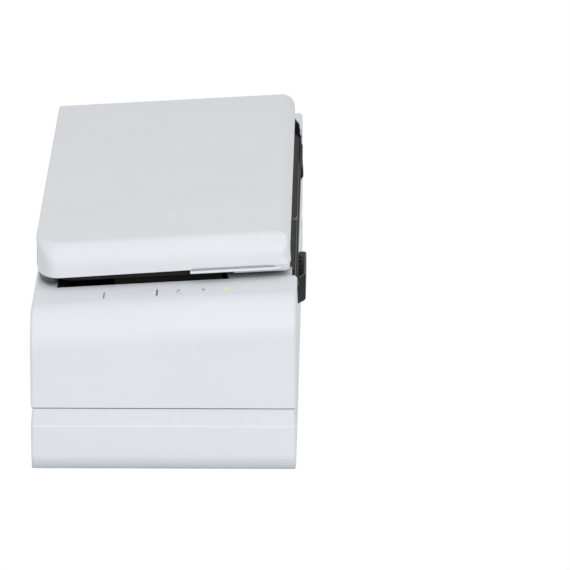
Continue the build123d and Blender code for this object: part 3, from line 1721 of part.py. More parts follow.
# Chute extension that slides out of the lid's front edge
with BuildPart() as chute_extension:
    tilted_block(
        (-extension_half_width, extension_half_width),
        (-half_depth + lid_front_inset + lid_front_undercut / 2, extension_rear),
        (extension_drop, extension_drop + extension_thickness),
    )
chute_extension.part.label = "chute_extension"
export_step(chute_extension.part, "parts/chute_extension.step")
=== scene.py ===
"""Dresses the document scanner: finishes, fine shapes, light and camera."""

from __future__ import annotations

import json
import logging
import math
from abc import ABC, abstractmethod
from collections.abc import Iterable, Mapping, Sequence
from dataclasses import dataclass
from enum import Enum
from typing import Any

import bmesh
import bpy
import numpy as np
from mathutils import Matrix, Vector

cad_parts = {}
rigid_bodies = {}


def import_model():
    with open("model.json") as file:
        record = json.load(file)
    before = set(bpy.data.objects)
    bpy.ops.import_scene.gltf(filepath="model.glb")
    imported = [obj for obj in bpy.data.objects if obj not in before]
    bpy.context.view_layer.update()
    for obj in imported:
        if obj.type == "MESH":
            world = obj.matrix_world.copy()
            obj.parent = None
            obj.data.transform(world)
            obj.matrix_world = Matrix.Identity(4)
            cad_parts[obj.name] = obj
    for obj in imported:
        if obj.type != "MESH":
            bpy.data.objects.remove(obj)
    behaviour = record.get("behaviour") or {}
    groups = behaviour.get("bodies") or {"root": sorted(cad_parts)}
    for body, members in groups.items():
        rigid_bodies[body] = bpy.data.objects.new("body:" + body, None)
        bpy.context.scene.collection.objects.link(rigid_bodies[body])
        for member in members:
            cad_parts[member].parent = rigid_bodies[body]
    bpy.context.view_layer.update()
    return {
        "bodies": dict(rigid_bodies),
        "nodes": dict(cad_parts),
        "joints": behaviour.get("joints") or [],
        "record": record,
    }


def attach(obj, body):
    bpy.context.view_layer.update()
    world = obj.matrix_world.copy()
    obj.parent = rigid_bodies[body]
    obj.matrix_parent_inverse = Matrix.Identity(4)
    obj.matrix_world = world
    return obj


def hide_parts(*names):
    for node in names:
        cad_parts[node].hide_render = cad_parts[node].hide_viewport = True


LOG = logging.getLogger("scanner")
MM = 0.001
Colour = tuple[float, float, float]
Span = tuple[float, float]
Outline = tuple[Span, ...]
Points = np.ndarray

SRGB_KNEE = 0.04045
SRGB_SLOPE = 12.92
SRGB_OFFSET = 0.055
SRGB_POWER = 2.4


class Body(Enum):
    """The moving bodies that the new pieces ride on."""

    BASE = "base"
    UPPER = "upper_unit"
    LID = "lid"
    LEVER = "release_lever"
    POWER_KEY = "power_key"


def srgb(red: float, green: float, blue: float) -> Colour:
    """Linear colour of an 8-bit screen colour.

    Each value is divided by the slope up to the knee, and above it follows the screen's power curve.

    Args:
        red: red from 0 to 255.
        green: green from 0 to 255.
        blue: blue from 0 to 255.

    Returns:
        The colour as three linear values from 0 to 1.
    """
    shares = [part / 255 for part in (red, green, blue)]
    curved = [((share + SRGB_OFFSET) / (1 + SRGB_OFFSET)) ** SRGB_POWER for share in shares]
    linear = [share / SRGB_SLOPE if share <= SRGB_KNEE else bent for share, bent in zip(shares, curved)]
    return (linear[0], linear[1], linear[2])


def shaded(colour: Colour, share: float, lift: float = 0.0) -> Colour:
    """Colour whose parts are multiplied by a share and lifted, up to 1."""
    red, green, blue = (min(part * share + lift, 1.0) for part in colour)
    return (red, green, blue)


class Field:
    """A value that varies over a surface: wraps a node's socket, so that arithmetic adds Math nodes."""

    def __init__(self, book: NodeBook, socket: bpy.types.NodeSocket) -> None:
        """Keep the socket and the book whose nodes it belongs to."""
        self.book = book
        self.socket = socket

    def _math(self, operation: str, *values: Field | float, clamp: bool = False) -> Field:
        """One Math node on the given values."""
        settings = {"operation": operation, "use_clamp": clamp}
        return self.book.node("ShaderNodeMath", settings, dict(enumerate(values)))

    def __add__(self, other: Field | float) -> Field:
        """Sum."""
        return self._math("ADD", self, other)

    __radd__ = __add__

    def __sub__(self, other: Field | float) -> Field:
        """Difference."""
        return self._math("SUBTRACT", self, other)

    def __rsub__(self, other: float) -> Field:
        """Difference taken from a number."""
        return self._math("SUBTRACT", other, self)

    def __mul__(self, other: Field | float) -> Field:
        """Product."""
        return self._math("MULTIPLY", self, other)

    __rmul__ = __mul__

    def __truediv__(self, other: Field | float) -> Field:
        """Quotient."""
        return self._math("DIVIDE", self, other)

    def __rtruediv__(self, other: float) -> Field:
        """Quotient of a number by the value."""
        return self._math("DIVIDE", other, self)

    def __abs__(self) -> Field:
        """Distance from zero."""
        return self._math("ABSOLUTE", self)

    def clipped(self) -> Field:
        """The value held between 0 and 1."""
        return self._math("ADD", self, 0.0, clamp=True)

    def larger(self, other: Field | float) -> Field:
        """The larger of two values."""
        return self._math("MAXIMUM", self, other)

    def repeat(self, period: float) -> Field:
        """Distance within one period of a repeating pattern, from 0 to the period."""
        return self._math("FLOORED_MODULO", self, period)

    def step(self, low: float, high: float) -> Field:
        """Smooth step of the value.

        Args:
            low: where the step is 0.
            high: where the step is 1; it may be the smaller one.

        Returns:
            The step as a Field from 0 to 1.
        """
        if high < low:
            return 1 - self.step(high, low)
        values = {"Value": self, "From Min": low, "From Max": high}
        return self.book.node("ShaderNodeMapRange", {"interpolation_type": "SMOOTHSTEP"}, values)


class NodeBook:
    """A node tree and the one way in which its nodes are added."""

    MIX_FACTOR, MIX_FIRST, MIX_SECOND, MIX_COLOUR = 0, 6, 7, 2

    def __init__(self, tree: bpy.types.NodeTree) -> None:
        """Start with an empty tree.

        Args:
            tree: the node tree, whose nodes are removed.
        """
        self.tree = tree
        self.tree.nodes.clear()
        self._place: Field | None = None

    def add(
        self,
        kind: str,
        settings: Mapping[str, Any] | None = None,
        values: Mapping[str | int, Any] | None = None,
    ) -> bpy.types.Node:
        """Add a node of any kind.

        Args:
            kind: the node's type.
            settings: its properties, set before its sockets.
            values: values or Fields for its sockets, by name or number.

        Returns:
            The node.
        """
        made = self.tree.nodes.new(kind)
        for key, value in (settings or {}).items():
            setattr(made, key, value)
        for key, value in (values or {}).items():
            self.put(made.inputs[key], value)
        return made

    def node(
        self,
        kind: str,
        settings: Mapping[str, Any] | None = None,
        values: Mapping[str | int, Any] | None = None,
        output: str | int = 0,
    ) -> Field:
        """Add a node as add does, and return one of its outputs as a Field."""
        return Field(self, self.add(kind, settings, values).outputs[output])

    def put(self, socket: bpy.types.NodeSocket, value: Any) -> None:
        """Link a Field to a socket, or set a plain value on it.

        Args:
            socket: the socket.
            value: a Field, a number, a vector or a colour.
        """
        if isinstance(value, Field):
            self.tree.links.new(value.socket, socket)
        elif isinstance(value, (tuple, list)) and socket.type == "RGBA":
            socket.default_value = (*value[:3], 1.0)
        else:
            socket.default_value = value

    @property
    def place(self) -> Field:
        """Object coordinates, in metres.

        Returns:
            The coordinates, from one node for the whole tree.
        """
        if self._place is None:
            self._place = self.node("ShaderNodeTexCoord", output="Object")
        return self._place

    def axes(self, place: Field | None = None) -> tuple[Field, Field, Field]:
        """The X, Y and Z of a place as three Fields."""
        outputs = self.add("ShaderNodeSeparateXYZ", None, {0: place or self.place}).outputs
        return Field(self, outputs[0]), Field(self, outputs[1]), Field(self, outputs[2])

    def stretched(self, scale: tuple[float, float, float]) -> Field:
        """Object coordinates scaled by a Mapping node."""
        return self.node("ShaderNodeMapping", None, {"Vector": self.place, "Scale": scale})

    def noise(
        self, size_mm: float, detail: float = 2.0, roughness: float = 0.5, place: Field | None = None
    ) -> Field:
        """Noise from 0 to 1.

        Args:
            size_mm: about how wide its cells are.
            detail: how many finer layers it has.
            roughness: how strong the finer layers are.
            place: coordinates other than the object's own.

        Returns:
            The noise.
        """
        scale = 1 / (size_mm * MM)
        values = {"Vector": place or self.place, "Scale": scale, "Detail": detail, "Roughness": roughness}
        return self.node("ShaderNodeTexNoise", None, values)

    def mix(self, share: Field | float, first: Any, second: Any) -> Field:
        """Colour that goes from the first to the second as share goes from 0 to 1."""
        values = {self.MIX_FACTOR: share, self.MIX_FIRST: first, self.MIX_SECOND: second}
        return self.node("ShaderNodeMix", {"data_type": "RGBA"}, values, self.MIX_COLOUR)

    def bump(self, height: Field, depth_mm: float, under: Field | None = None) -> Field:
        """Normal of a surface raised by a height.

        Args:
            height: the height, from 0 to 1.
            depth_mm: how much a height of 1 raises the surface.
            under: the normal of a coarser relief that this one lies on.

        Returns:
            The normal.
        """
        values: dict[str | int, Any] = {"Height": height, "Distance": depth_mm * MM}
        if under is not None:
            values["Normal"] = under
        return self.node("ShaderNodeBump", None, values)

    def background_rays(self) -> Field:
        """1 on the camera's, glossy and transmission rays, and 0 on the rays that only carry light.

        Returns:
            The value as a Field.
        """
        camera, glossy, clear = (
            self.node("ShaderNodeLightPath", output=f"Is {kind} Ray")
            for kind in ("Camera", "Glossy", "Transmission")
        )
        return camera.larger(glossy).larger(clear)


class SurfaceBook(NodeBook):
    """The nodes of a material, with its Principled shader and its output."""

    def __init__(self, name: str) -> None:
        """Start a material whose shader is linked to its output.

        Args:
            name: the material's name.
        """
        self.material = bpy.data.materials.new(name)
        self.material.use_nodes = True
        super().__init__(self.material.node_tree)
        self.shader = self.add("ShaderNodeBsdfPrincipled")
        self.surface = Field(self, self.shader.outputs[0])
        self.output = self.add("ShaderNodeOutputMaterial", None, {"Surface": self.surface})

    def set(self, **values: Any) -> None:
        """Set the shader's own sockets, with underscores for the spaces of their names."""
        for key, value in values.items():
            self.put(self.shader.inputs[key.replace("_", " ")], value)


class Recipe(ABC):
    """How one kind of surface is made."""

    @abstractmethod
    def paint(self, book: SurfaceBook) -> None:
        """Feed the shader of a new material."""


@dataclass(frozen=True)
class MouldedPlastic(Recipe):
    """Injection-moulded plastic with a spark-eroded grain, faint flow clouds, handling marks and, where a
    foot height is set, a painted shade that darkens it towards the foot.
    """

    colour: Colour
    roughness: float = 0.45
    grain_mm: float = 0.45
    grain_depth_mm: float = 0.02
    cloud: float = 0.03
    cloud_mm: float = 38.0
    polish: float = 0.08
    rub_mm: float = 11.0
    sink_mm: float = 60.0
    sink_depth_mm: float = 0.06
    specular: float = 0.5
    scuff_mm: float = 0.0
    scuff_tint: Colour = (0.68, 0.72, 0.76)

    def paint(self, book: SurfaceBook) -> None:
        """Shade, rub and raise the surface with noises of several sizes.

        Args:
            book: the nodes of the new material.
        """
        clouds = book.noise(self.cloud_mm, 3.0, 0.55)
        speckle = book.noise(self.grain_mm * 2.2, 1.0)
        shade = (clouds - 0.5) * (2 * self.cloud) + (speckle - 0.5) * self.cloud
        low, high = shaded(self.colour, 1 - self.cloud * 2), shaded(self.colour, 1 + self.cloud * 2)
        tone = book.mix((shade / (4 * self.cloud) + 0.5).clipped(), low, high)
        # Painted shade: the colour darkens towards the foot, where the table dims the light.
        if self.scuff_mm:
            tone = self._scuffed(book, tone, clouds)
        rub = book.noise(self.rub_mm, 4.0, 0.65).step(0.52, 0.72)
        grain = book.noise(self.grain_mm, 2.0, 0.6)
        relief = book.bump(book.noise(self.sink_mm, 1.0), self.sink_depth_mm)
        book.set(
            Base_Color=tone,
            Roughness=(self.roughness + (speckle - 0.5) * 0.10 - rub * self.polish).clipped(),
            Normal=book.bump(grain, self.grain_depth_mm, relief),
            Specular_IOR_Level=self.specular,
        )

    def _scuffed(self, book: SurfaceBook, tone: Field, clouds: Field) -> Field:
        """Tone darkened towards the foot by a painted shade in a blue-grey tint, over the set height and with
        a cloudy edge.

        Args:
            book: the nodes of the new material.
            tone: the clean colour.
            clouds: the noise that breaks up the edge.

        Returns:
            The colour.
        """
        red, green, blue = (part * share for part, share in zip(self.colour, self.scuff_tint))
        height = book.axes()[2] / (self.scuff_mm * MM)
        return book.mix((1.0 - height + (clouds - 0.5) * 0.3).clipped(), tone, (red, green, blue))


@dataclass(frozen=True)
class TurnedSteel(Recipe):
    """Ground steel bar along X: rings of the grinding wheel, a film of oil and a few rub marks."""

    colour: Colour = (0.56, 0.57, 0.58)
    roughness: float = 0.22
    ring_mm: float = 0.25
    film_mm: float = 14.0
    ring_depth_mm: float = 0.006

    def paint(self, book: SurfaceBook) -> None:
        """Darken the steel where the oil lies, and raise the rings.

        Args:
            book: the nodes of the new material.
        """
        rings = book.noise(self.ring_mm, 2.0, 0.6, book.stretched((1.0, 0.05, 0.05)))
        film = book.noise(self.film_mm, 3.0)
        book.set(
            Base_Color=book.mix(film.step(0.35, 0.75), self.colour, shaded(self.colour, 0.8)),
            Metallic=1.0,
            Roughness=(self.roughness + (rings - 0.5) * 0.14 + film * 0.08).clipped(),
            Normal=book.bump(rings, self.ring_depth_mm),
        )


@dataclass(frozen=True)
class RolledSheet(Recipe):
    """Zinc-plated sheet steel with rolling lines along one axis and faint spangle."""

    colour: Colour = (0.5, 0.51, 0.52)
    roughness: float = 0.34
    lines: tuple[float, float, float] = (0.04, 1.0, 1.0)
    line_mm: float = 0.3
    line_depth_mm: float = 0.006
    spangles_per_metre: float = 220.0

    def paint(self, book: SurfaceBook) -> None:
        """Tint the sheet by spangle and rolling lines, and raise the lines.

        Args:
            book: the nodes of the new material.
        """
        rolled = book.noise(self.line_mm, 3.0, 0.6, book.stretched(self.lines))
        cells = {"Vector": book.place, "Scale": self.spangles_per_metre}
        spangle = book.axes(book.node("ShaderNodeTexVoronoi", {"feature": "F1"}, cells, "Color"))[0]
        book.set(
            Base_Color=book.mix(spangle * 0.5 + rolled * 0.5, self.colour, shaded(self.colour, 0.86)),
            Metallic=1.0,
            Roughness=(self.roughness + (spangle - 0.5) * 0.10 + (rolled - 0.5) * 0.12).clipped(),
            Normal=book.bump(rolled, self.line_depth_mm),
        )


@dataclass(frozen=True)
class GroundRubber(Recipe):
    """Rubber ground on a wheel: fine lines across the roller, chalky dust and a few darker wet patches."""

    colour: Colour = (0.03, 0.03, 0.032)
    roughness: float = 0.72
    line_mm: float = 0.5
    chalk_mm: float = 3.5
    grit_mm: float = 0.3
    grit_depth_mm: float = 0.03

    def paint(self, book: SurfaceBook) -> None:
        """Whiten the rubber with chalk, and raise its lines and grit.

        Args:
            book: the nodes of the new material.
        """
        line = (book.axes()[0] / (self.line_mm * MM)).repeat(1.0)
        groove = abs(line - 0.5) * 2
        chalk = book.noise(self.chalk_mm, 4.0, 0.7).step(0.45, 0.8)
        grit = book.noise(self.grit_mm, 2.0, 0.7)
        book.set(
            Base_Color=book.mix(chalk * 0.6, self.colour, shaded(self.colour, 2.4, 0.02)),
            Roughness=(self.roughness + chalk * 0.15).clipped(),
            Normal=book.bump(groove * 0.6 + grit * 0.8, self.grit_depth_mm),
        )


@dataclass(frozen=True)
class CircuitLaminate(Recipe):
    """Green solder mask over copper tracks, with tinned pads."""

    colour: Colour = (0.012, 0.12, 0.05)
    tin: Colour = (0.62, 0.6, 0.55)
    tracks_per_metre: float = 210.0
    pad_pitch_mm: Span = (1.9, 2.3)
    relief_mm: float = 0.05

    def paint(self, book: SurfaceBook) -> None:
        """Draw tracks along the edges of random cells, and pads where two rows of lanes cross.

        Args:
            book: the nodes of the new material.
        """
        cells = {"Vector": book.place, "Scale": self.tracks_per_metre, "Randomness": 0.85}
        edges = book.node("ShaderNodeTexVoronoi", {"feature": "DISTANCE_TO_EDGE"}, cells)
        track = edges.step(0.10, 0.05)
        lanes = [
            abs((axis / (pitch * MM)).repeat(1.0) - 0.5).step(0.12, 0.08)
            for axis, pitch in zip(book.axes(), self.pad_pitch_mm)
        ]
        pads = lanes[0] * lanes[1] * book.noise(9.0, 1.0).step(0.5, 0.56)
        green = book.mix(track * 0.8, self.colour, shaded(self.colour, 1.9, 0.01))
        book.set(
            Base_Color=book.mix(pads, green, self.tin),
            Metallic=pads * 0.9,
            Roughness=(0.30 + pads * 0.12 + book.noise(6.0, 2.0) * 0.08).clipped(),
            Normal=book.bump(track * 0.4 + pads, self.relief_mm),
        )


@dataclass(frozen=True)
class ClearGlass(Recipe):
    """Thin flat glass with a slight green edge and a wipe mark."""

    tint: Colour = (0.82, 0.9, 0.88)
    smear: Colour = (0.7, 0.8, 0.78)
    wipe_mm: float = 9.0
    clearness: float = 0.85
    refraction: float = 1.5

    def paint(self, book: SurfaceBook) -> None:
        """Tint and roughen the glass along the wipe.

        Args:
            book: the nodes of the new material.
        """
        wipe = book.noise(self.wipe_mm, 3.0, 0.6, book.stretched((0.2, 1.0, 1.0)))
        book.set(
            Base_Color=book.mix(wipe.step(0.3, 0.8) * 0.3, self.tint, self.smear),
            Roughness=(0.03 + wipe.step(0.45, 0.8) * 0.08).clipped(),
            Transmission_Weight=self.clearness,
            IOR=self.refraction,
        )


@dataclass(frozen=True)
class LampLens(Recipe):
    """Clear tinted lens of the status lamp, faintly lit from inside."""

    colour: Colour = (0.62, 0.75, 0.2)
    glow: float = 0.45
    swirl_mm: float = 0.6
    swirl_depth_mm: float = 0.02

    def paint(self, book: SurfaceBook) -> None:
        """Tint, light and raise the lens with one swirling noise.

        Args:
            book: the nodes of the new material.
        """
        swirl = book.noise(self.swirl_mm, 2.0)
        tint = book.mix(swirl.step(0.35, 0.7), self.colour, shaded(self.colour, 0.8))
        book.set(
            Base_Color=tint,
            Emission_Color=tint,
            Emission_Strength=self.glow,
            Roughness=(0.12 + swirl * 0.1).clipped(),
            Normal=book.bump(swirl, self.swirl_depth_mm),
        )


class Finish(Enum):
    """The finishes with their recipes; a finish's name in small letters is its slot."""

    CASING_WHITE = MouldedPlastic(srgb(223, 226, 230))
    # A lighter copy of the casing white that paints the highlight on the crease edges.
    EDGE_WHITE = MouldedPlastic(
        srgb(236, 238, 241), roughness=0.38, grain_mm=0.4, grain_depth_mm=0.01, cloud=0.02)
    # Casing white with a painted shade that darkens it towards the foot.
    CASING_LOW = MouldedPlastic(srgb(223, 226, 230), scuff_mm=6.0)
    # Grey that paints the shade in the hollow above the finger pull.
    GROOVE_GREY = MouldedPlastic(
        srgb(158, 164, 172), roughness=0.6, grain_mm=0.4, grain_depth_mm=0.01, polish=0.04, specular=0.2)
    PANEL_BLACK = MouldedPlastic(
        srgb(22, 23, 23), roughness=0.62, grain_mm=0.5, grain_depth_mm=0.03, cloud=0.06, polish=0.05,
        specular=0.12)
    # A lighter copy of the black that paints the highlights on the ridge bead and the curved rib.
    WORN_BLACK = MouldedPlastic(
        srgb(104, 105, 101), roughness=0.5, grain_mm=0.4, grain_depth_mm=0.03, cloud=0.08, specular=0.3)
    # Light grey that paints the highlight along the lever's edge.
    WORN_EDGE = MouldedPlastic(srgb(150, 150, 146), grain_mm=0.4, grain_depth_mm=0.03, cloud=0.08)
    LEVER_BLACK = MouldedPlastic(
        srgb(44, 42, 43), roughness=0.5, grain_mm=0.5, grain_depth_mm=0.03, cloud=0.06, polish=0.06,
        specular=0.3)
    # A lighter copy of the tray black that paints the light bounced from the white casing.
    TRAY_GREY = MouldedPlastic(
        srgb(54, 60, 64), roughness=0.5, grain_mm=0.5, grain_depth_mm=0.03, cloud=0.05)
    SEAM_SHADOW = MouldedPlastic(
        srgb(74, 78, 84), roughness=0.8, grain_mm=0.5, grain_depth_mm=0.01, cloud=0.05, polish=0.02,
        specular=0.1)
    TRAY_BLACK = MouldedPlastic(
        srgb(24, 23, 22), roughness=0.6, grain_mm=0.5, grain_depth_mm=0.03, cloud=0.05, polish=0.05,
        specular=0.2)
    INTERNAL_BLACK = MouldedPlastic(
        srgb(22, 20, 19), roughness=0.6, grain_mm=0.6, grain_depth_mm=0.03, cloud=0.05, polish=0.05,
        specular=0.25)
    BUTTON_GREY = MouldedPlastic(
        srgb(223, 227, 231), roughness=0.38, grain_mm=0.35, grain_depth_mm=0.012, cloud=0.02)
    GEAR_WHITE = MouldedPlastic(
        srgb(228, 226, 218), roughness=0.36, grain_mm=0.8, grain_depth_mm=0.01, cloud=0.02)
    CHIP_BLACK = MouldedPlastic(
        srgb(28, 28, 29), roughness=0.5, grain_mm=0.25, grain_depth_mm=0.01, cloud=0.04)
    ROLLER_RUBBER = GroundRubber()
    FOOT_RUBBER = GroundRubber((0.022, 0.022, 0.022), roughness=0.8, line_mm=0.9)
    BELT_RUBBER = GroundRubber((0.018, 0.018, 0.018), roughness=0.65, line_mm=0.6)
    STEEL = TurnedSteel()
    SCREW_STEEL = TurnedSteel((0.28, 0.28, 0.29), roughness=0.3)
    BRONZE = TurnedSteel((0.52, 0.36, 0.16), roughness=0.34)
    PLATE_STEEL = RolledSheet()
    MOTOR_CASE = RolledSheet((0.42, 0.43, 0.44), roughness=0.3, lines=(1.0, 0.06, 1.0))
    SENSOR_GLASS = ClearGlass()
    LAMP_LENS = LampLens()
    BOARD_GREEN = CircuitLaminate()

    @property
    def label(self) -> str:
        """Name of the finish as a material slot."""
        return self.name.lower()


@dataclass(frozen=True)
class Fitting:
    """A new piece with its body, its slot, the finish it shows instead and the node that it stands for."""

    piece: bpy.types.Object
    body: Body
    slot: Finish
    look: Finish | None = None
    stands_for: str = ""


class Wardrobe:
    """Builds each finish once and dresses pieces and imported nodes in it."""

    def __init__(self) -> None:
        """Start with no material built."""
        self._built: dict[Finish, bpy.types.Material] = {}

    def material(self, finish: Finish) -> bpy.types.Material:
        """Material of a finish, built when it is first asked for.

        Args:
            finish: the finish.

        Returns:
            The material, whose name is the finish's slot.
        """
        if finish not in self._built:
            book = SurfaceBook(finish.label)
            finish.value.paint(book)
            self._built[finish] = book.material
        return self._built[finish]

    def dress(self, fitting: Fitting) -> None:
        """Give a new piece the material of its finish, or of its slot when it shows no other, set it on its
        body and hide the node it stands for.

        Args:
            fitting: the piece and what it needs.
        """
        piece = fitting.piece
        piece.data.materials.clear()
        piece.data.materials.append(self.material(fitting.look or fitting.slot))
        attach(piece, fitting.body.value)
        if fitting.stands_for:
            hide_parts(fitting.stands_for)

    def dress_nodes(self, frame: Mapping[str, Any]) -> None:
        """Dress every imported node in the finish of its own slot.
        """
        for part in frame["record"]["subparts"]:
            node = frame["nodes"][part["node"]]
            for slot in node.material_slots:
                slot.material = self.material(Finish[part["material_slot"].upper()])
            LOG.info("node %s wears %s", part["node"], part["material_slot"])


@dataclass(frozen=True)
class Lamp:
    """A round soft lamp, in metres and watts."""

    name: str
    place: tuple[float, float, float]
    size: float
    power: float


@dataclass(frozen=True)
class Studio:
    """Plain pale floor, soft light and the camera of the product view, in metres."""

    lens_mm: float = 384.9
    sensor_mm: float = 36.0
    view_end: float = 50.0
    eye: tuple[float, float, float] = (-2.4379, -0.0740, 0.7674)
    pitch_deg: float = 16.782
    yaw_deg: float = 0.649
    sky: float = 0.7
    floor_shade: Colour = (0.68, 0.68, 0.68)
    floor_roughness: float = 0.9
    floor_reach: float = 6.0
    lit_point: tuple[float, float, float] = (0.0, 0.0, 0.04)
    lamps: tuple[Lamp, ...] = (
        Lamp("key_lamp", (-1.5, -0.6, 0.8), 0.9, 10.5),
        Lamp("fill_lamp", (-1.1, 1.3, 0.9), 1.2, 6.0),
        Lamp("top_lamp", (0.2, -0.2, 1.6), 1.4, 3.6),
    )

    def build(self) -> None:
        """Make the camera, the floor, the world and the lamps."""
        self._camera()
        self._floor()
        self._world()
        for lamp in self.lamps:
            data = bpy.data.lights.new(lamp.name, "AREA")
            data.shape = "DISK"
            data.size = lamp.size
            data.energy = lamp.power
            self._stand(lamp.name, data, lamp.place, Vector(self.lit_point) - Vector(lamp.place))
        bpy.context.scene.view_settings.view_transform = "Standard"

    @staticmethod
    def _stand(name: str, data: bpy.types.ID, place: Sequence[float], direction: Vector) -> bpy.types.Object:
        """Put a camera or a lamp in its place, looking along a direction.

        Args:
            name: the object's name.
            data: the camera or the light.
            place: where it stands.
            direction: where it looks.

        Returns:
            The object.
        """
        thing = bpy.data.objects.new(name, data)
        thing.location = place
        thing.rotation_euler = direction.to_track_quat("-Z", "Y").to_euler()
        bpy.context.scene.collection.objects.link(thing)
        return thing

    def _camera(self) -> None:
        """Long lens from the panel's end, as far away as the fitted outlines say."""
        data = bpy.data.cameras.new("product_camera")
        data.sensor_width = self.sensor_mm
        data.lens = self.lens_mm
        data.clip_end = self.view_end
        pitch, yaw = math.radians(self.pitch_deg), math.radians(self.yaw_deg)
        look = (math.cos(pitch) * math.cos(yaw), math.cos(pitch) * math.sin(yaw), -math.sin(pitch))
        bpy.context.scene.camera = self._stand("product_camera", data, self.eye, Vector(look))

    def _floor(self) -> None:
        """Large sheet under the object, which shows plain white in the background rays."""
        reach = self.floor_reach
        mesh = bpy.data.meshes.new("floor")
        corners = [(-reach, -reach, 0), (reach, -reach, 0), (reach, reach, 0), (-reach, reach, 0)]
        mesh.from_pydata(corners, [], [(0, 1, 2, 3)])
        floor = bpy.data.objects.new("floor", mesh)
        bpy.context.scene.collection.objects.link(floor)
        book = SurfaceBook("floor_sheet")
        book.set(Base_Color=self.floor_shade, Roughness=self.floor_roughness)
        white = book.node("ShaderNodeEmission", None, {"Strength": 1.0})
        blend = book.node("ShaderNodeMixShader", None, {0: book.background_rays(), 1: book.surface, 2: white})
        book.put(book.output.inputs["Surface"], blend)
        mesh.materials.append(book.material)

    def _world(self) -> None:
        """Even pale surroundings, at full strength in the background rays and weaker as a light."""
        world = bpy.data.worlds.new("soft_room")
        bpy.context.scene.world = world
        world.use_nodes = True
        book = NodeBook(world.node_tree)
        strength = book.background_rays() * (1 - self.sky) + self.sky
        light = book.node("ShaderNodeBackground", None, {"Strength": strength})
        book.add("ShaderNodeOutputWorld", None, {"Surface": light})


class Tilt:
    """The lid's sloping frame: X, the distance along the slope and the drop below the lid's top."""

    FRONT_HEIGHT = 87.0
    REAR_HEIGHT = 80.9
    DEPTH = 105.0
    ANGLE = math.atan2(FRONT_HEIGHT - REAR_HEIGHT, DEPTH)
    MIDDLE = (FRONT_HEIGHT + REAR_HEIGHT) / 2

    @classmethod
    def place(cls, x: Points | float, along: Points | float, drop: Points | float) -> Points:
        """Points of the sloping frame in the object's frame.

        The slope runs down towards the rear: Y is along times the cosine less drop times the sine,
        and Z is the middle height less along times the sine less drop times the cosine.

        Args:
            x: distance along the object, in millimetres.
            along: distance along the slope from the middle.
            drop: distance below the lid's top, square to it.

        Returns:
            An array whose last axis holds X, Y and Z in millimetres.
        """
        x, along, drop = np.broadcast_arrays(x, along, drop)
        cosine, sine = math.cos(cls.ANGLE), math.sin(cls.ANGLE)
        return np.stack([x, along * cosine - drop * sine, cls.MIDDLE - along * sine - drop * cosine], axis=-1)


def smooth(share: Points) -> Points:
    """Smooth step: three times the square of the share less twice its cube."""
    return share**2 * (3 - 2 * share)


def arc(centre: Span, radius: float, start_deg: float, end_deg: float, count: int) -> Points:
    """Points of an arc: the centre plus the radius times the cosine and sine of evenly spaced angles.

    Args:
        centre: its middle.
        radius: its radius.
        start_deg: angle of its first point.
        end_deg: angle of its last point.
        count: number of points.

    Returns:
        An array with one point in each line.
    """
    angle = np.radians(np.linspace(start_deg, end_deg, count))
    return np.stack([centre[0] + radius * np.cos(angle), centre[1] + radius * np.sin(angle)], axis=-1)


def circle(count: int) -> Points:
    """Cosine and sine of angles that divide a full turn evenly, one pair in each line."""
    angle = np.linspace(0, 2 * np.pi, count, endpoint=False)
    return np.stack([np.cos(angle), np.sin(angle)], axis=-1)


def upright(x: float, outline: Points) -> Points:
    """Ring at one place along X with an outline of Y and Z."""
    return np.concatenate([np.full((len(outline), 1), x), outline], axis=1)


def band(path: Points, section: Points) -> Points:
    """Rings of a band: the section set up at each point of a path.

    The section's first coordinate lies along the path's normal, which is its direction turned a
    quarter to the right. The second is the level.

    Args:
        path: two coordinates of each of its points.
        section: distance along the normal and level of each of its points.

    Returns:
        An array of rings, points and the path's two coordinates with the level.
    """
    way = np.gradient(path, axis=0)
    way /= np.linalg.norm(way, axis=1, keepdims=True)
    normal = np.stack([way[:, 1], -way[:, 0]], axis=-1)
    ring = path[:, None, :] + normal[:, None, :] * section[None, :, :1]
    level = np.broadcast_to(section[None, :, 1:], (*ring.shape[:2], 1))
    return np.concatenate([ring, level], axis=-1)


def grid_faces(rows: int, columns: int, closed: bool = False) -> list[list[int]]:
    """Four-cornered faces of a grid of points numbered row by row, whose last column joins the first.

    Args:
        rows: number of rows.
        columns: number of points in a row.
        closed: join the last row to the first.

    Returns:
        The corner numbers of each face.
    """
    row = np.arange(rows if closed else rows - 1)[:, None] * columns
    column = np.arange(columns)[None, :]
    next_row, next_column = (row + columns) % (rows * columns), (column + 1) % columns
    corners = (row + column, row + next_column, next_row + next_column, next_row + column)
    return np.stack([corner.ravel() for corner in corners], axis=-1).tolist()


SHARP_DEG = 32.0


def make_piece(
    name: str, points: Points, faces: Sequence[Sequence[int]], sharp_deg: float = SHARP_DEG
) -> bpy.types.Object:
    """Object with a closed mesh, given in millimetres.

    Args:
        name: the piece's name.
        points: its points, one in each line.
        faces: the corner numbers of its faces.
        sharp_deg: edges that bend by more than this stay sharp.

    Returns:
        The object, at the origin, with its faces pointing outwards.
    """
    mesh = bpy.data.meshes.new(name)
    mesh.from_pydata((np.asarray(points, float).reshape(-1, 3) * MM).tolist(), [], faces)
    shell = bmesh.new()
    shell.from_mesh(mesh)
    bmesh.ops.remove_doubles(shell, verts=shell.verts, dist=1e-6)
    bmesh.ops.recalc_face_normals(shell, faces=shell.faces)
    shell.to_mesh(mesh)
    shell.free()
    mesh.shade_smooth()
    mesh.set_sharp_from_angle(angle=math.radians(sharp_deg))
    piece = bpy.data.objects.new(name, mesh)
    bpy.context.scene.collection.objects.link(piece)
    return piece


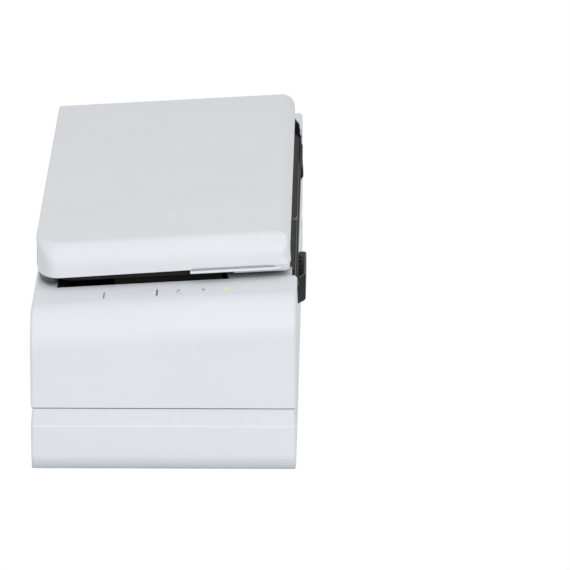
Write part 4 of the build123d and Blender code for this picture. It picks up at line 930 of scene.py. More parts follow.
def swept(name: str, rows: Points, sharp_deg: float = SHARP_DEG) -> bpy.types.Object:
    """Closed skin through rings of points, with a flat cap on the first ring and the last.

    Args:
        name: the piece's name.
        rows: array of rings, points and coordinates, in millimetres.
        sharp_deg: edges that bend by more than this stay sharp.

    Returns:
        The object.
    """
    count, around = rows.shape[:2]
    caps = [list(range(around)), list(range((count - 1) * around, count * around))]
    return make_piece(name, rows, grid_faces(count, around) + caps, sharp_deg)


def ring_loop(name: str, rows: Points, sharp_deg: float = SHARP_DEG) -> bpy.types.Object:
    """Closed skin through rings of points whose last ring joins the first, as swept takes them."""
    return make_piece(name, rows, grid_faces(*rows.shape[:2], closed=True), sharp_deg)


def sleeve(name: str, x: Span, inner: Points, outer: Points) -> bpy.types.Object:
    """Hollow bar along X.

    Args:
        name: the piece's name.
        x: where it starts and ends, in millimetres.
        inner: Y and Z of the inner outline's points.
        outer: Y and Z of as many points of the outer outline.

    Returns:
        The object.
    """
    corners = ((x[0], inner), (x[0], outer), (x[1], outer), (x[1], inner))
    return ring_loop(name, np.stack([upright(place, outline) for place, outline in corners]))


def bar(name: str, x: Span, outline: Points) -> bpy.types.Object:
    """Bar along X between two places, with a closed outline of Y and Z."""
    return swept(name, np.stack([upright(place, outline) for place in x]))


def slab(name: str, x: Span, along: Span, drop: Span) -> bpy.types.Object:
    """Block of the sloping frame.

    Args:
        name: the piece's name.
        x: its two limits along X, in millimetres.
        along: its limits along the slope.
        drop: its limits below the lid's top.

    Returns:
        The object.
    """
    ring_x = np.array([x[0], x[1], x[1], x[0]])
    ring_along = np.array([along[0], along[0], along[1], along[1]])
    return swept(name, np.stack([Tilt.place(ring_x, ring_along, level) for level in drop]))


def joined(name: str, pieces: Sequence[bpy.types.Object]) -> bpy.types.Object:
    """One object that holds the meshes of several.

    Args:
        name: its name.
        pieces: the objects, which are then removed.

    Returns:
        The object.
    """
    points: list[Points] = []
    faces: list[list[int]] = []
    for piece in pieces:
        start = sum(len(block) for block in points)
        block = np.empty(len(piece.data.vertices) * 3)
        piece.data.vertices.foreach_get("co", block)
        points.append(block.reshape(-1, 3) / MM)
        faces.extend([start + corner for corner in face.vertices] for face in piece.data.polygons)
    for piece in pieces:
        mesh = piece.data
        bpy.data.objects.remove(piece)
        bpy.data.meshes.remove(mesh)
    return make_piece(name, np.concatenate(points), faces)


def carve(piece: bpy.types.Object, cutters: Sequence[bpy.types.Object]) -> None:
    """Take the cutters' volumes out of a piece.

    Args:
        piece: the piece, whose mesh is replaced.
        cutters: objects that lie across it, which are then removed.
    """
    for cutter in cutters:
        change = piece.modifiers.new("cut", "BOOLEAN")
        change.operation = "DIFFERENCE"
        change.solver = "EXACT"
        change.object = cutter
    graph = bpy.context.evaluated_depsgraph_get()
    graph.update()
    cut = bpy.data.meshes.new_from_object(piece.evaluated_get(graph))
    piece.modifiers.clear()
    old, piece.data = piece.data, cut
    bpy.data.meshes.remove(old)
    for cutter in cutters:
        bpy.data.objects.remove(cutter)
    cut.shade_smooth()
    cut.set_sharp_from_angle(angle=math.radians(SHARP_DEG))


def soften(piece: bpy.types.Object, width_mm: float) -> bpy.types.Object:
    """Round a piece's sharp edges with a live Bevel modifier.

    Args:
        piece: the piece.
        width_mm: how wide the rounding is.

    Returns:
        The same piece.
    """
    bevel = piece.modifiers.new("edge", "BEVEL")
    bevel.width = width_mm * MM
    bevel.segments = 2
    bevel.limit_method = "ANGLE"
    bevel.angle_limit = math.radians(40.0)
    bevel.harden_normals = True
    return piece


class Assembly(ABC):
    """A group of new pieces that belong together, with its measures in millimetres."""

    @abstractmethod
    def fittings(self) -> list[Fitting]:
        """Make the group's pieces and say what each of them needs.

        Returns:
            The pieces with what they need.
        """

    def build(self, wardrobe: Wardrobe) -> list[bpy.types.Object]:
        """Make the group's pieces and dress them.

        Args:
            wardrobe: the finishes.

        Returns:
            The finished pieces.
        """
        fittings = self.fittings()
        for fitting in fittings:
            wardrobe.dress(fitting)
        return [fitting.piece for fitting in fittings]


@dataclass(frozen=True)
class EdgeRoll:
    """How one side of the lid goes down: a roll, a face and an undercut, in millimetres."""

    roll: float
    face: float
    undercut: float = 0.0
    least_roll: float = 0.3

    def profile(self, margin: float, depth: float, counts: tuple[int, int, int]) -> Points:
        """Inset and drop of the side's profile, from the flat top to the lower edge.

        The roll is a quarter circle: the inset is the radius times one less the sine, the drop is the
        radius times one less the cosine. The face goes straight down and the undercut draws inwards.

        Args:
            margin: how far the skin lies inside the outer one.
            depth: drop of the lower edge.
            counts: points on the roll, the face and the undercut.

        Returns:
            An array with the inset and the drop in each line.
        """
        radius = max(self.roll - margin, self.least_roll)
        angle = np.linspace(0, np.pi / 2, counts[0])
        roll = np.stack([radius * (1 - np.sin(angle)), margin + radius * (1 - np.cos(angle))], axis=-1)
        level = np.linspace(margin + radius, self.face, counts[1] + 1)[1:]
        face = np.stack([np.zeros_like(level), level], axis=-1)
        share = np.linspace(0, 1, counts[2] + 1)[1:]
        under = np.stack([self.undercut * share, self.face + (depth - self.face) * share], axis=-1)
        return np.concatenate([roll, face, under]) + (margin, 0)


@dataclass(frozen=True)
class Lid(Assembly):
    """The lid's shell, finger pull, corner skirt and inner fittings, in place of the solid's lid cover."""

    half: float = 112.5
    front: float = -49.35
    rear: float = 52.55
    depth: float = 12.0
    wall: float = 2.0
    rear_corner: Span = (22.0, 10.0)
    far_rear_corner: Span = (9.6, 3.2)
    front_corner: Span = (6.0, 4.6)
    far_corner: Span = (12.5, 5.5)
    least_corner: float = 0.8
    corner_points: int = 18
    end: EdgeRoll = EdgeRoll(8.7, 9.5)
    front_edge: EdgeRoll = EdgeRoll(4.3, 6.8, 3.0)
    rear_edge: EdgeRoll = EdgeRoll(0.9, 4.0, -0.6)
    counts: tuple[int, int, int] = (14, 3, 3)
    flat_inset: float = 1.2
    corner_undercut: float = 0.001
    undercut_way: float = 10.0
    sag: float = 0.085
    sag_along: Span = (-8.0, 52.0)
    overcut: float = 2.0
    arm_x: float = 94.5
    arm_gap: float = 3.1
    arm_gap_reach: float = 3.6
    arm_gap_drop: Span = (2.6, 16.0)
    hinge_along: float = 45.8
    hinge_drop: float = 6.1
    lug_x: Span = (2.7, 5.2)
    lug_radius: float = 3.0
    lug_roof: float = 4.9
    lug_swell: float = 0.35
    lug_bore: float = 1.5
    slot_half: float = 70.2
    slot_reach: float = 6.0
    slot_drop: Span = (7.2, 9.2)
    rail_x: Span = (70.2, 72.2)
    ledge_x: Span = (68.0, 72.2)
    rail_along: Span = (-45.5, 22.0)
    rail_drop: Span = (1.2, 10.4)
    ledge_drop: Span = (9.2, 10.4)
    skirt_x: Span = (104.0, 112.1)
    skirt_end: float = -26.5
    skirt_inset: float = 0.5
    skirt_radius: float = 3.0
    skirt_section: Outline = ((0.0, 11.2), (0.0, 14.3), (0.3, 14.7), (1.1, 14.7), (1.1, 11.2))
    pull: Span = (-46.4, -9.3)
    pull_fade: float = 5.0
    pull_hollow: Outline = ((-1.6, 11.8), (-0.8, 12.3), (0.0, 12.55), (0.6, 12.58), (1.1, 12.5))
    pull_top: Outline = ((1.5, 12.42), (2.6, 12.34))
    pull_nose: Span = (2.6, 12.78)
    pull_nose_radius: float = 0.44
    pull_under: Outline = ((1.8, 13.25), (0.2, 13.15), (-1.6, 12.7))
    groove_ends: Span = (3.5, 0.15)
    groove_radius: float = 0.5
    groove_taper: Span = (3.0, 1 / 3)
    groove_least: float = 0.05
    groove_place: Span = (0.35, 12.32)

    def fittings(self) -> list[Fitting]:
        """Make the lid's pieces; the shell stands for the lid cover.

        Returns:
            The pieces with what they need.
        """
        shell = swept("lid_shell", np.concatenate([self._skin(0.0), self._skin(self.wall)[::-1]]))
        carve(shell, [*self._hinge_cutters(), self._slot_cutter()])
        return [
            Fitting(shell, Body.LID, Finish.CASING_WHITE, stands_for="lid_cover"),
            Fitting(self._pull(), Body.LID, Finish.CASING_WHITE),
            Fitting(self._inner_fittings(), Body.LID, Finish.CASING_WHITE),
            Fitting(self._corner_skirt(), Body.LID, Finish.CASING_WHITE),
            # The bead's grey is painted shade in the hollow above the pull.
            Fitting(self._groove_bead(), Body.LID, Finish.CASING_WHITE, Finish.GROOVE_GREY),
        ]

    def _skin(self, margin: float) -> Points:
        """One skin of the shell.

        Each ring is a rectangle whose corners are quarter ellipses. At a corner the drop blends from
        that of the front or rear to that of the end by a smooth step of the squared cosine. The
        undercut is nearly left out at the near front corner.

        Args:
            margin: how far the skin lies inside the outer one.

        Returns:
            Rings around the lid, from the flat top down to the lower edge.
        """
        sides = (self.end, self.front_edge, self.rear_edge)
        profiles = [side.profile(margin, self.depth, self.counts) for side in sides]
        flat = np.array([[self.flat_inset, 0.0]])
        end, front, rear = (np.concatenate([profile[:1] + flat, profile]) for profile in profiles)
        corners = (
            (rear, 1, 1, self.far_rear_corner),
            (rear, -1, 1, self.rear_corner),
            (front, -1, -1, self.front_corner),
            (front, 1, -1, self.far_corner),
        )
        rings = []
        for turn, (side, x_sign, y_sign, corner) in enumerate(corners):
            angle = np.radians(np.linspace(90 * turn, 90 * (turn + 1), self.corner_points))[None, :]
            radius_x = np.maximum(corner[0] - end[:, :1], self.least_corner)
            radius_y = np.maximum(corner[1] - side[:, :1], self.least_corner)
            centre_x = x_sign * (self.half - end[:, :1] - radius_x)
            edge = (self.rear if y_sign > 0 else self.front) - y_sign * side[:, :1]
            along = edge - y_sign * radius_y + radius_y * np.sin(angle)
            share = smooth(np.cos(angle) ** 2)
            drop = end[:, 1:] * share + side[:, 1:] * (1 - share)
            near_front = x_sign < 0 and y_sign < 0
            if near_front:
                low = front[:, 1:] > self.front_edge.face
                along = along - front[:, :1] * low * (1 - self.corner_undercut)
            rings.append(Tilt.place(centre_x + radius_x * np.cos(angle), along, self._sagged(drop, along)))
            if near_front:
                rings.append(self._undercut_start(front, centre_x))
        return np.concatenate(rings, axis=1)

    def _undercut_start(self, front: Points, start_x: Points) -> Points:
        """Columns along the front over which the undercut grows by a smooth step, past the near corner.

        Args:
            front: inset and drop of the front's profile.
            start_x: where the columns start at each level.

        Returns:
            Points of each level, in the object's frame.
        """
        way = np.linspace(0, self.undercut_way, 8)[None, 1:]
        low = front[:, 1:] > self.front_edge.face
        inset = np.where(low, front[:, :1] * smooth(way / self.undercut_way), front[:, :1])
        along = self.front + inset
        drop = np.broadcast_to(front[:, 1:], along.shape)
        return Tilt.place(start_x + way, along, self._sagged(drop, along))

    def _sagged(self, drop: Points, along: Points) -> Points:
        """Drop that grows evenly by the share sag between two places along the slope."""
        start, end = self.sag_along
        return drop * (1 + self.sag * np.clip((along - start) / (end - start), 0, 1))

    def _hinge_cutters(self) -> list[bpy.types.Object]:
        """Blocks that open the rear edge where the hinge arms stand.

        Returns:
            The two blocks.
        """
        along = (self.hinge_along - self.arm_gap_reach, self.rear + self.overcut)
        middles = (-self.arm_x, self.arm_x)
        spans = [(middle - self.arm_gap, middle + self.arm_gap) for middle in middles]
        return [slab("arm_gap", span, along, self.arm_gap_drop) for span in spans]

    def _slot_cutter(self) -> bpy.types.Object:
        """Block that opens the front edge for the chute extension."""
        along = (self.front - self.overcut, self.front + self.slot_reach)
        return slab("extension_slot", (-self.slot_half, self.slot_half), along, self.slot_drop)

    def _corner_skirt(self) -> bpy.types.Object:
        """Thin skirt under the near front corner: straight, a quarter circle, straight, below the edge.

        Returns:
            The skirt.
        """
        radius, front = self.skirt_radius, self.front + self.skirt_inset
        near, far = self.skirt_x
        turn = arc((far - radius, front + radius), radius, 0, -90, 10)
        path = np.concatenate([[[far, self.skirt_end]], turn, [[near, front]]])
        x, along, drop = np.moveaxis(band(path, np.array(self.skirt_section)), -1, 0)
        return swept("lid_corner_skirt", Tilt.place(-x, along, drop), sharp_deg=50.0)

    def _groove_bead(self) -> bpy.types.Object:
        """Fine bead at the bottom of the hollow between the end and the finger pull, tapered at both ends,
        whose grey paints the shade in the hollow.

        Its radius grows with the square root of the distance from either end, slowly at the front.

        Returns:
            The bead.
        """
        start, end = self.groove_ends
        slow, quick = self.groove_taper
        along = np.linspace(self.pull[0] + start, self.pull[1] - end, 30)
        taper = np.minimum((along - along[0]) / slow, (along[-1] - along) / quick)
        size = self.groove_radius * np.sqrt(np.clip(taper, self.groove_least, 1.0))
        ring = size[:, None, None] * circle(10)
        out, down = self.groove_place
        rows = Tilt.place(ring[..., 0] - self.half - out, along[:, None], down + ring[..., 1])
        return swept("pull_groove_shade_bead", rows, sharp_deg=60.0)

    def _pull(self) -> bpy.types.Object:
        """Finger pull: a lip that swells out of the lower edge of the end, with a hollow above it.

        Across, the section runs from the end's skin down a hollow, out over a rounded lip and back
        under. Along, the lip keeps its reach and fades to nothing near the front corner, by the
        height of a quarter circle.

        Returns:
            The pull.
        """
        along = np.linspace(self.pull[1], self.pull[0], 46)
        way = np.clip((along - self.pull[0]) / self.pull_fade, 0, 1)
        fade = np.sqrt(1 - (1 - way) ** 2)
        top = np.linspace(*self.pull_top, 5)
        nose = arc(self.pull_nose, self.pull_nose_radius, -90, 80, 9)
        section = np.concatenate([self.pull_hollow, top, nose, self.pull_under])
        out = np.maximum(section[:, 0], 0.0) * fade[:, None] + np.minimum(section[:, 0], 0.0)
        rows = Tilt.place(-self.half - out, along[:, None], section[:, 1])
        return swept("finger_pull", rows, sharp_deg=38.0)

    def _inner_fittings(self) -> bpy.types.Object:
        """Hinge lugs and the rails of the chute extension, inside the shell.

        Returns:
            The lugs and rails as one piece.
        """
        parts = []
        for side in (-1, 1):
            parts += [self._lug(side, offset) for offset in (-1, 1)]
            for span, drop in ((self.rail_x, self.rail_drop), (self.ledge_x, self.ledge_drop)):
                x = tuple(sorted(side * limit for limit in span))
                parts.append(slab("rail", x, self.rail_along, drop))
        return joined("lid_fittings", parts)

    def _lug(self, side: int, offset: int) -> bpy.types.Object:
        """Lug with a round hole: a ring whose outer side is drawn up to the shell's roof.

        Args:
            side: -1 at the panel's end, 1 at the far end.
            offset: the side of the hinge arm on which it stands.

        Returns:
            The lug.
        """
        x = tuple(sorted(side * (self.arm_x + offset * reach) for reach in self.lug_x))
        centre = Tilt.place(0.0, self.hinge_along, self.hinge_drop)[1:]
        turn = circle(48)
        cosine, sine = turn.T
        roof = self.lug_roof * np.abs(sine) ** self.lug_swell
        height = np.where(sine > 0, roof, self.lug_radius * sine)
        outer = np.stack([self.lug_radius * cosine, height], axis=-1)
        return sleeve("lug", x, self.lug_bore * turn + centre, outer + centre)


@dataclass(frozen=True)
class Casing(Assembly):
    """Fine lines of the end casings and the base: seam gaps, crease edges and the skirt underneath."""

    half_length: float = 148.0
    half_depth: float = 52.5
    seam_start: float = 109.0
    seam: float = 25.8
    seam_gap: float = 0.42
    seam_inset: float = 0.42
    seam_radius: float = 1.2
    seam_depth: float = 0.5
    crease_inset: float = 0.9
    crease: Outline = ((148.0, 17.95), (147.985, 18.1), (147.96, 18.45), (147.5, 18.5), (147.5, 17.95))
    skirt_radius: float = 1.6
    skirt_levels: tuple[float, ...] = (6.8, 5.7, 4.6, 3.5, 2.4, 1.4, 0.7, 0.25, 0.25, 3.0, 6.8)
    skirt_end_inset: tuple[float, ...] = (0.14, 0.02, 0.07, 0.18, 0.36, 0.6, 0.86, 1.2, 3.0, 3.0, 1.0)
    skirt_side_inset: tuple[float, ...] = (0.14, 0.12, 0.12, 0.12, 0.12, 0.14, 0.2, 0.4, 3.0, 3.0, 1.0)

    def fittings(self) -> list[Fitting]:
        """Make the seam gaps, the crease edges and the skirt.

        Returns:
            The pieces with what they need.
        """
        ends = (("panel_end", -1), ("far_end", 1))
        gaps = [self._seam_gap(f"seam_gap_{end}", side) for end, side in ends]
        edges = [self._crease_edge(f"crease_{end}", side) for end, side in ends]
        return [
            *(Fitting(gap, Body.BASE, Finish.INTERNAL_BLACK, Finish.SEAM_SHADOW) for gap in gaps),
            # The crease edges wear a lighter white: a painted highlight.
            *(Fitting(edge, Body.BASE, Finish.CASING_WHITE, Finish.EDGE_WHITE) for edge in edges),
            # The skirt wears the casing white with a painted shade towards the foot.
            Fitting(self._skirt(), Body.BASE, Finish.CASING_WHITE, Finish.CASING_LOW),
        ]

    def _crease_edge(self, name: str, side: int) -> bpy.types.Object:
        """Fine edge along the crease of one end, where the base starts to draw in, in a lighter white that
        paints the highlight the crease catches.

        Args:
            name: the piece's name.
            side: -1 at the panel's end, 1 at the far end.

        Returns:
            The edge.
        """
        section = np.array(self.crease)
        reach = self.half_depth - self.crease_inset
        rows = [np.insert(section * (side, 1), 1, y, axis=1) for y in (-reach, reach)]
        return swept(name, np.stack(rows))

    def _skirt(self) -> bpy.types.Object:
        """Low skirt round the underside, as a closed band round a rectangle with small round corners.

        Its section starts inside the base's wall, follows the rounded bottom edge outside it and ends just
        above the table. It draws in more at the ends than along the sides.

        Returns:
            The skirt.
        """
        middle = np.array([self.half_length, self.half_depth]) - self.skirt_radius
        signs = ((1, 1), (-1, 1), (-1, -1), (1, -1))
        outward = np.stack([arc((0.0, 0.0), 1.0, 90 * turn, 90 * (turn + 1), 8) for turn in range(4)])
        turns = outward * self.skirt_radius + np.array(signs)[:, None, :] * middle
        inset = np.stack([self.skirt_end_inset, self.skirt_side_inset], axis=-1)
        ring = turns.reshape(-1, 1, 2) - outward.reshape(-1, 1, 2) * inset
        level = np.broadcast_to(np.array(self.skirt_levels)[:, None], (*ring.shape[:2], 1))
        return ring_loop("base_skirt", np.concatenate([ring, level], axis=-1), sharp_deg=50.0)

    def _seam_gap(self, name: str, side: int) -> bpy.types.Object:
        """Dark strip that lies back in the seam on three sides of one end casing.

        The path runs along the front, round a corner, along the end, round the next and back along
        the rear. The strip's section is a rectangle that stands inwards from it.

        Args:
            name: the piece's name.
            side: -1 at the panel's end, 1 at the far end.

        Returns:
            The strip.
        """
        radius = self.seam_radius
        x_end, y_end = self.half_length - self.seam_inset, self.half_depth - self.seam_inset
        turns = [
            arc((radius - x_end, sign * (y_end - radius)), radius, start, start - 90, 8)
            for sign, start in ((-1, 270), (1, 180))
        ]
        path = np.concatenate([[[-self.seam_start, -y_end]], *turns, [[-self.seam_start, y_end]]])
        low, high = self.seam - self.seam_gap, self.seam
        section = np.array([[0.0, low], [0.0, high], [self.seam_depth, high], [self.seam_depth, low]])
        return swept(name, band(path, section) * (-side, 1, 1))


@dataclass(frozen=True)
class ControlPanel(Assembly):
    """Small parts of the panel: the long key's slits, the round key's dimples, gap fences and lamp window."""

    drop: float = 16.9
    key_x: Span = (-130.3, -122.4)
    key_ends: Span = (2.85, 24.0)
    slit_half: float = 0.2
    slit_inset: float = 0.28
    slit_levels: tuple[tuple[float, float, float], ...] = (
        (0.86, 0.86, -0.03), (1.0, 1.0, -0.015), (1.0, 1.0, 0.4))
    round_key: Span = (-125.8, -10.5)
    dimple_reach: float = 4.75
    dimple_radius: float = 0.45
    dimple_levels: tuple[tuple[float, float, float], ...] = ((1.3, 1.0, -0.33), (1.3, 1.0, -0.05))
    fence_levels: Span = (0.05, 0.9)
    long_fence: Span = (0.68, 0.56)
    long_fence_inset: float = 0.6
    round_fence: Span = (5.46, 5.54)
    round_fence_turn: Span = (100.0, 260.0)
    lamp: Span = (-125.8, -24.9)
    lamp_levels: tuple[tuple[float, float, float], ...] = (
        (0.65, 1.05, -0.12), (0.8, 1.2, -0.08), (0.8, 1.2, -0.02), (0.76, 0.76, -0.02),
        (0.76, 0.76, 8.6), (1.75, 1.75, 8.7), (1.75, 1.75, 10.3))

    def fittings(self) -> list[Fitting]:
        """Make the panel's small pieces; the window stands for the light guide.

        Returns:
            The pieces with what they need.
        """
        slits = joined("long_key_slits", [self._slit(end) for end in self.key_ends])
        dimples = joined("round_key_dimples", [self._dimple(side) for side in (-1, 1)])
        fences = joined("key_fences", [self._long_fence(), self._round_fence()])
        centre = (self.lamp[0], self._along(self.lamp[1]))
        window = self._stack("status_window", centre, circle(36), self.lamp_levels, sharp_deg=40.0)
        return [
            Fitting(slits, Body.BASE, Finish.INTERNAL_BLACK, Finish.SEAM_SHADOW),
            Fitting(dimples, Body.POWER_KEY, Finish.BUTTON_GREY, Finish.SEAM_SHADOW),
            Fitting(fences, Body.BASE, Finish.CASING_WHITE),
            Fitting(window, Body.BASE, Finish.LAMP_LENS, stands_for="light_guide"),
        ]

    def _along(self, y: float) -> float:
        """Distance along the slope of a place on the panel with this Y."""
        return (y + self.drop * math.sin(Tilt.ANGLE)) / math.cos(Tilt.ANGLE)

    def _stack(
        self,
        name: str,
        centre: Span,
        outline: Points,
        levels: Sequence[tuple[float, float, float]],
        sharp_deg: float = 50.0,
    ) -> bpy.types.Object:
        """Piece that stands in the panel, with one outline at each of its levels.

        Args:
            name: the piece's name.
            centre: X and distance along the slope of its middle.
            outline: its outline about the middle.
            levels: the outline's scale both ways and its drop below the panel, for each level.
            sharp_deg: edges that bend by more than this stay sharp.

        Returns:
            The piece.
        """
        x, along = centre
        rows = [
            Tilt.place(x + wide * outline[:, 0], along + long * outline[:, 1], self.drop + level)
            for wide, long, level in levels
        ]
        return swept(name, np.stack(rows), sharp_deg)

    def _slit(self, y: float) -> bpy.types.Object:
        """Narrow slit across the panel at one end of the long key, with round ends.

        Args:
            y: Y of that end.

        Returns:
            The slit.
        """
        long = (self.key_x[1] - self.key_x[0]) / 2 - self.slit_inset
        right = arc((long, 0.0), self.slit_half, -90, 90, 7)
        left = arc((-long, 0.0), self.slit_half, 90, 270, 7)
        centre = (sum(self.key_x) / 2, self._along(y))
        return self._stack("slit", centre, np.concatenate([right, left]), self.slit_levels)

    def _dimple(self, side: int) -> bpy.types.Object:
        """Small dark dimple at one side of the round key's crown, an ellipse of twelve points."""
        centre = (self.round_key[0], self._along(self.round_key[1]) + side * self.dimple_reach)
        return self._stack("dimple", centre, self.dimple_radius * circle(12), self.dimple_levels)

    def _long_fence(self) -> bpy.types.Object:
        """Thin upright fence in the gap along the long key's near side.

        Returns:
            The fence.
        """
        x = (self.key_x[0] - self.long_fence[0], self.key_x[0] - self.long_fence[1])
        start, end = (self._along(y) for y in self.key_ends)
        drop = (self.drop + self.fence_levels[0], self.drop + self.fence_levels[1])
        return slab("fence", x, (start + self.long_fence_inset, end - self.long_fence_inset), drop)

    def _round_fence(self) -> bpy.types.Object:
        """Thin upright fence in the gap around the near half of the round key.

        Returns:
            The fence.
        """
        turn = np.radians(np.linspace(*self.round_fence_turn, 40))[:, None]
        inner, outer = self.round_fence
        high, low = self.fence_levels
        radius = np.array([inner, outer, outer, inner])
        x = self.round_key[0] + radius * np.cos(turn)
        along = self._along(self.round_key[1]) + radius * np.sin(turn)
        drop = self.drop + np.array([high, high, low, low])
        return swept("fence", Tilt.place(x, along, drop), sharp_deg=50.0)


@dataclass(frozen=True)
class FrontModule(Assembly):
    """Fine parts of the black front: the bead on its ridge, the small curved rib and the face plate; the bead
    and the rib are in a lighter grey that paints the highlights along them.
    """

    bead_x: Span = (-107.4, 97.0)
    bead_place: Span = (-51.7, 67.0)
    bead_radius: float = 0.56
    bead_taper: float = 40.0
    bead_least: float = 0.02
    rib_corner: tuple[float, float, float] = (-16.0, -48.9, 70.6)
    rib_reach: tuple[float, float, float] = (14.0, 2.7, 3.4)
    rib_radius: float = 0.42
    plate: Outline = (
        (-52.0, 60.2), (-52.3, 60.5), (-52.45, 61.0), (-52.45, 65.2), (-52.3, 65.9), (-52.0, 66.5),
        (-51.6, 66.3), (-51.6, 60.4))
    near_plate_x: Span = (-58.0, 64.0)
    far_plate_x: Span = (62.0, 98.6)
    far_plate_step: float = 0.5
    step_from: float = -52.1
    plate_round: float = 0.12

    def fittings(self) -> list[Fitting]:
        """Make the bead, the rib and the face plate.

        Returns:
            The pieces with what they need.
        """
        return [
            # The bead and the rib wear a lighter grey: painted highlights.
            Fitting(self._bead(), Body.UPPER, Finish.PANEL_BLACK, Finish.WORN_BLACK),
            Fitting(self._rib(), Body.UPPER, Finish.PANEL_BLACK, Finish.WORN_BLACK),
            Fitting(self._face_plate(), Body.UPPER, Finish.PANEL_BLACK),
        ]

    def _face_plate(self) -> bpy.types.Object:
        """Upright plate under the ridge, from beside the lever to the far cheek, whose far end steps out.

        Returns:
            The plate.
        """
        outline = np.array(self.plate)
        outer = outline[:, :1] < self.step_from
        near = bar("plate", self.near_plate_x, outline)
        far = bar("plate", self.far_plate_x, outline - (self.far_plate_step, 0.0) * outer)
        return soften(joined("face_plate", [near, far]), self.plate_round)

    def _bead(self) -> bpy.types.Object:
        """Round bead along the ridge, whose radius falls to nearly nothing at its far end.

        Returns:
            The bead.
        """
        x = np.linspace(*self.bead_x, 60)[:, None]
        taper = np.clip((self.bead_x[1] - x) / self.bead_taper, self.bead_least, 1.0)
        ring = self.bead_radius * np.sqrt(taper)[..., None] * circle(14) + self.bead_place
        x = np.broadcast_to(x, ring.shape[:2])
        return swept("ridge_bead", np.stack([x, ring[..., 0], ring[..., 1]], axis=-1), sharp_deg=60.0)

    def _rib(self) -> bpy.types.Object:
        """Small rib that curves from the slope down on to the ridge.

        The path is a quarter of an ellipse: X goes with the sine, Y and height with the cosine. The
        section is a circle.

        Returns:
            The rib.
        """
        turn = np.linspace(0, np.pi / 2, 16)
        sweep = np.stack([np.sin(turn), np.cos(turn), np.cos(turn)], axis=-1)
        path = np.array(self.rib_corner) - self.rib_reach * sweep
        ring = upright(0.0, self.rib_radius * circle(10))
        return swept("curved_rib", path[:, None, :] + ring, sharp_deg=60.0)


@dataclass(frozen=True)
class TrayCorners(Assembly):
    """Rounded rear corners of the black tray, close under the lid's edge, in a lighter grey that paints the
    light bounced on them from the white casing.
    """

    half: float = 112.1
    rear: float = 52.4
    radius: Span = (21.6, 9.7)
    roof: float = 12.6
    fall: float = 1.2
    section: Outline = (
        (0.0, 11.8), (0.0, 14.8), (-0.15, 15.25), (-0.6, 15.5), (-1.4, 15.5), (-1.4, 11.8))

    def fittings(self) -> list[Fitting]:
        """Make both corners."""
        corners = [self._corner("tray_corner_panel_end", -1), self._corner("tray_corner_far_end", 1)]
        # The corners wear a lighter grey: painted bounce light from the white casing.
        return [Fitting(corner, Body.LID, Finish.TRAY_BLACK, Finish.TRAY_GREY) for corner in corners]

    def _corner(self, name: str, side: int) -> bpy.types.Object:
        """Upright strip around most of a quarter ellipse, with a rounded foot that falls towards the rear.

        Args:
            name: the piece's name.
            side: -1 at the panel's end, 1 at the far end.

        Returns:
            The strip.
        """
        turn = arc((0.0, 0.0), 1.0, 15, 90, 30)
        centre = (self.half - self.radius[0], self.rear - self.radius[1])
        x, along, drop = np.moveaxis(band(turn * self.radius + centre, np.array(self.section)), -1, 0)
        share = np.linspace(0, 1, len(turn))[:, None]
        fallen = drop + share * self.fall * (drop > self.roof)
        return swept(name, Tilt.place(side * x, along, fallen), sharp_deg=50.0)


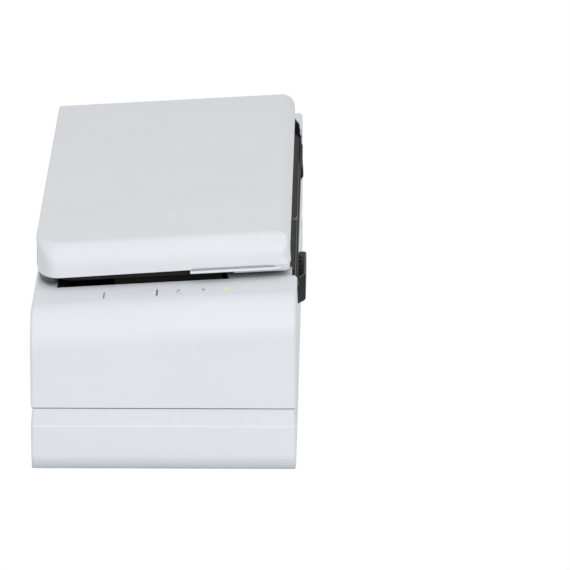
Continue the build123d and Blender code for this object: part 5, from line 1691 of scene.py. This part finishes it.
@dataclass(frozen=True)
class Lever(Assembly):
    """Release lever: a hub on the pin, an outer lip whose top twists, with grip notches, and a painted
    highlight along the edge of its near end.
    """

    x: Span = (-105.9, -61.1)
    axis: Span = (-51.2, 63.2)
    hub: float = 2.0
    bore: float = 1.26
    lip_x: float = -96.0
    lip: tuple[tuple[float, float, float], ...] = (
        (-52.9, 61.6, 0.0), (-52.9, 64.2, 0.6), (-55.1, 65.9, -1.0), (-55.8, 65.3, -1.0),
        (-55.8, 55.5, 0.0), (-55.2, 54.6, 0.0), (-52.62, 53.3, 0.0), (-52.62, 61.4, 0.0))
    lip_round: float = 0.2
    notches: int = 5
    notch_ends: Span = (4.0, 8.0)
    notch_half: float = 1.1
    notch_change: float = 0.35
    notch: Outline = ((-54.0, 63.2), (-52.4, 62.0), (-52.4, 66.4), (-54.0, 66.9))
    wear: Outline = ((-52.95, 64.1), (-54.0, 64.75), (-55.05, 65.8))
    wear_inset: float = 0.04
    wear_radius: float = 0.16

    def fittings(self) -> list[Fitting]:
        """Make the hub, the lip and the painted highlight along its edge; the lip stands for the latch lever.

        Returns:
            The pieces with what they need.
        """
        return [
            Fitting(self._hub(), Body.LEVER, Finish.PANEL_BLACK, Finish.LEVER_BLACK),
            Fitting(self._lip(), Body.LEVER, Finish.PANEL_BLACK, Finish.LEVER_BLACK, "latch_lever"),
            Fitting(self._worn_edge(), Body.LEVER, Finish.PANEL_BLACK, Finish.WORN_EDGE),
        ]

    def _hub(self) -> bpy.types.Object:
        """Sleeve around the pin, between two circles about its axis."""
        turn = circle(40)
        return sleeve("lever_hub", self.x, self.bore * turn + self.axis, self.hub * turn + self.axis)

    def _lip(self) -> bpy.types.Object:
        """Outer lip along X, with notches along its inner edge.

        Each point of its outline changes its height evenly towards the far end, by its third value.

        Returns:
            The lip.
        """
        outline = np.array(self.lip)
        share = np.linspace(0, 1, 6)[:, None]
        stations = self.lip_x + share * (self.x[1] - self.lip_x)
        height = outline[:, 1] + share * outline[:, 2]
        rows = np.stack(np.broadcast_arrays(stations, outline[:, 0], height), axis=-1)
        lip = swept("lever_lip", rows)
        start, end = self.notch_ends
        cutters = []
        for index, place in enumerate(np.linspace(self.lip_x + start, self.x[1] - end, self.notches)):
            half = self.notch_half + self.notch_change * (index % 2)
            cutters.append(bar("notch", (place - half, place + half), np.array(self.notch)))
        carve(lip, cutters)
        return soften(lip, self.lip_round)

    def _worn_edge(self) -> bpy.types.Object:
        """Thin light grey strip along the upper edge of the lip's near end: a painted highlight.

        Returns:
            The wear.
        """
        ring = self.wear_radius * circle(8)
        path = np.array(self.wear)
        x = self.lip_x + self.wear_inset + ring[:, 0]
        rows = np.broadcast_arrays(x, path[:, :1], path[:, 1:] + ring[:, 1])
        return swept("lever_highlight_edge", np.stack(rows, axis=-1), sharp_deg=60.0)


ASSEMBLIES = (Lid, Casing, ControlPanel, FrontModule, TrayCorners, Lever)


def main() -> None:
    """Load the frame, dress it, add the fine pieces and light it."""
    logging.basicConfig(level=logging.INFO, format="%(name)s: %(message)s")
    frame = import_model()
    wardrobe = Wardrobe()
    wardrobe.dress_nodes(frame)
    for assembly in ASSEMBLIES:
        for piece in assembly().build(wardrobe):
            LOG.info("%s has %d faces", piece.name, len(piece.data.polygons))
    Studio().build()
    LOG.info("all pieces are in place")


if __name__ == "__main__":
    main()
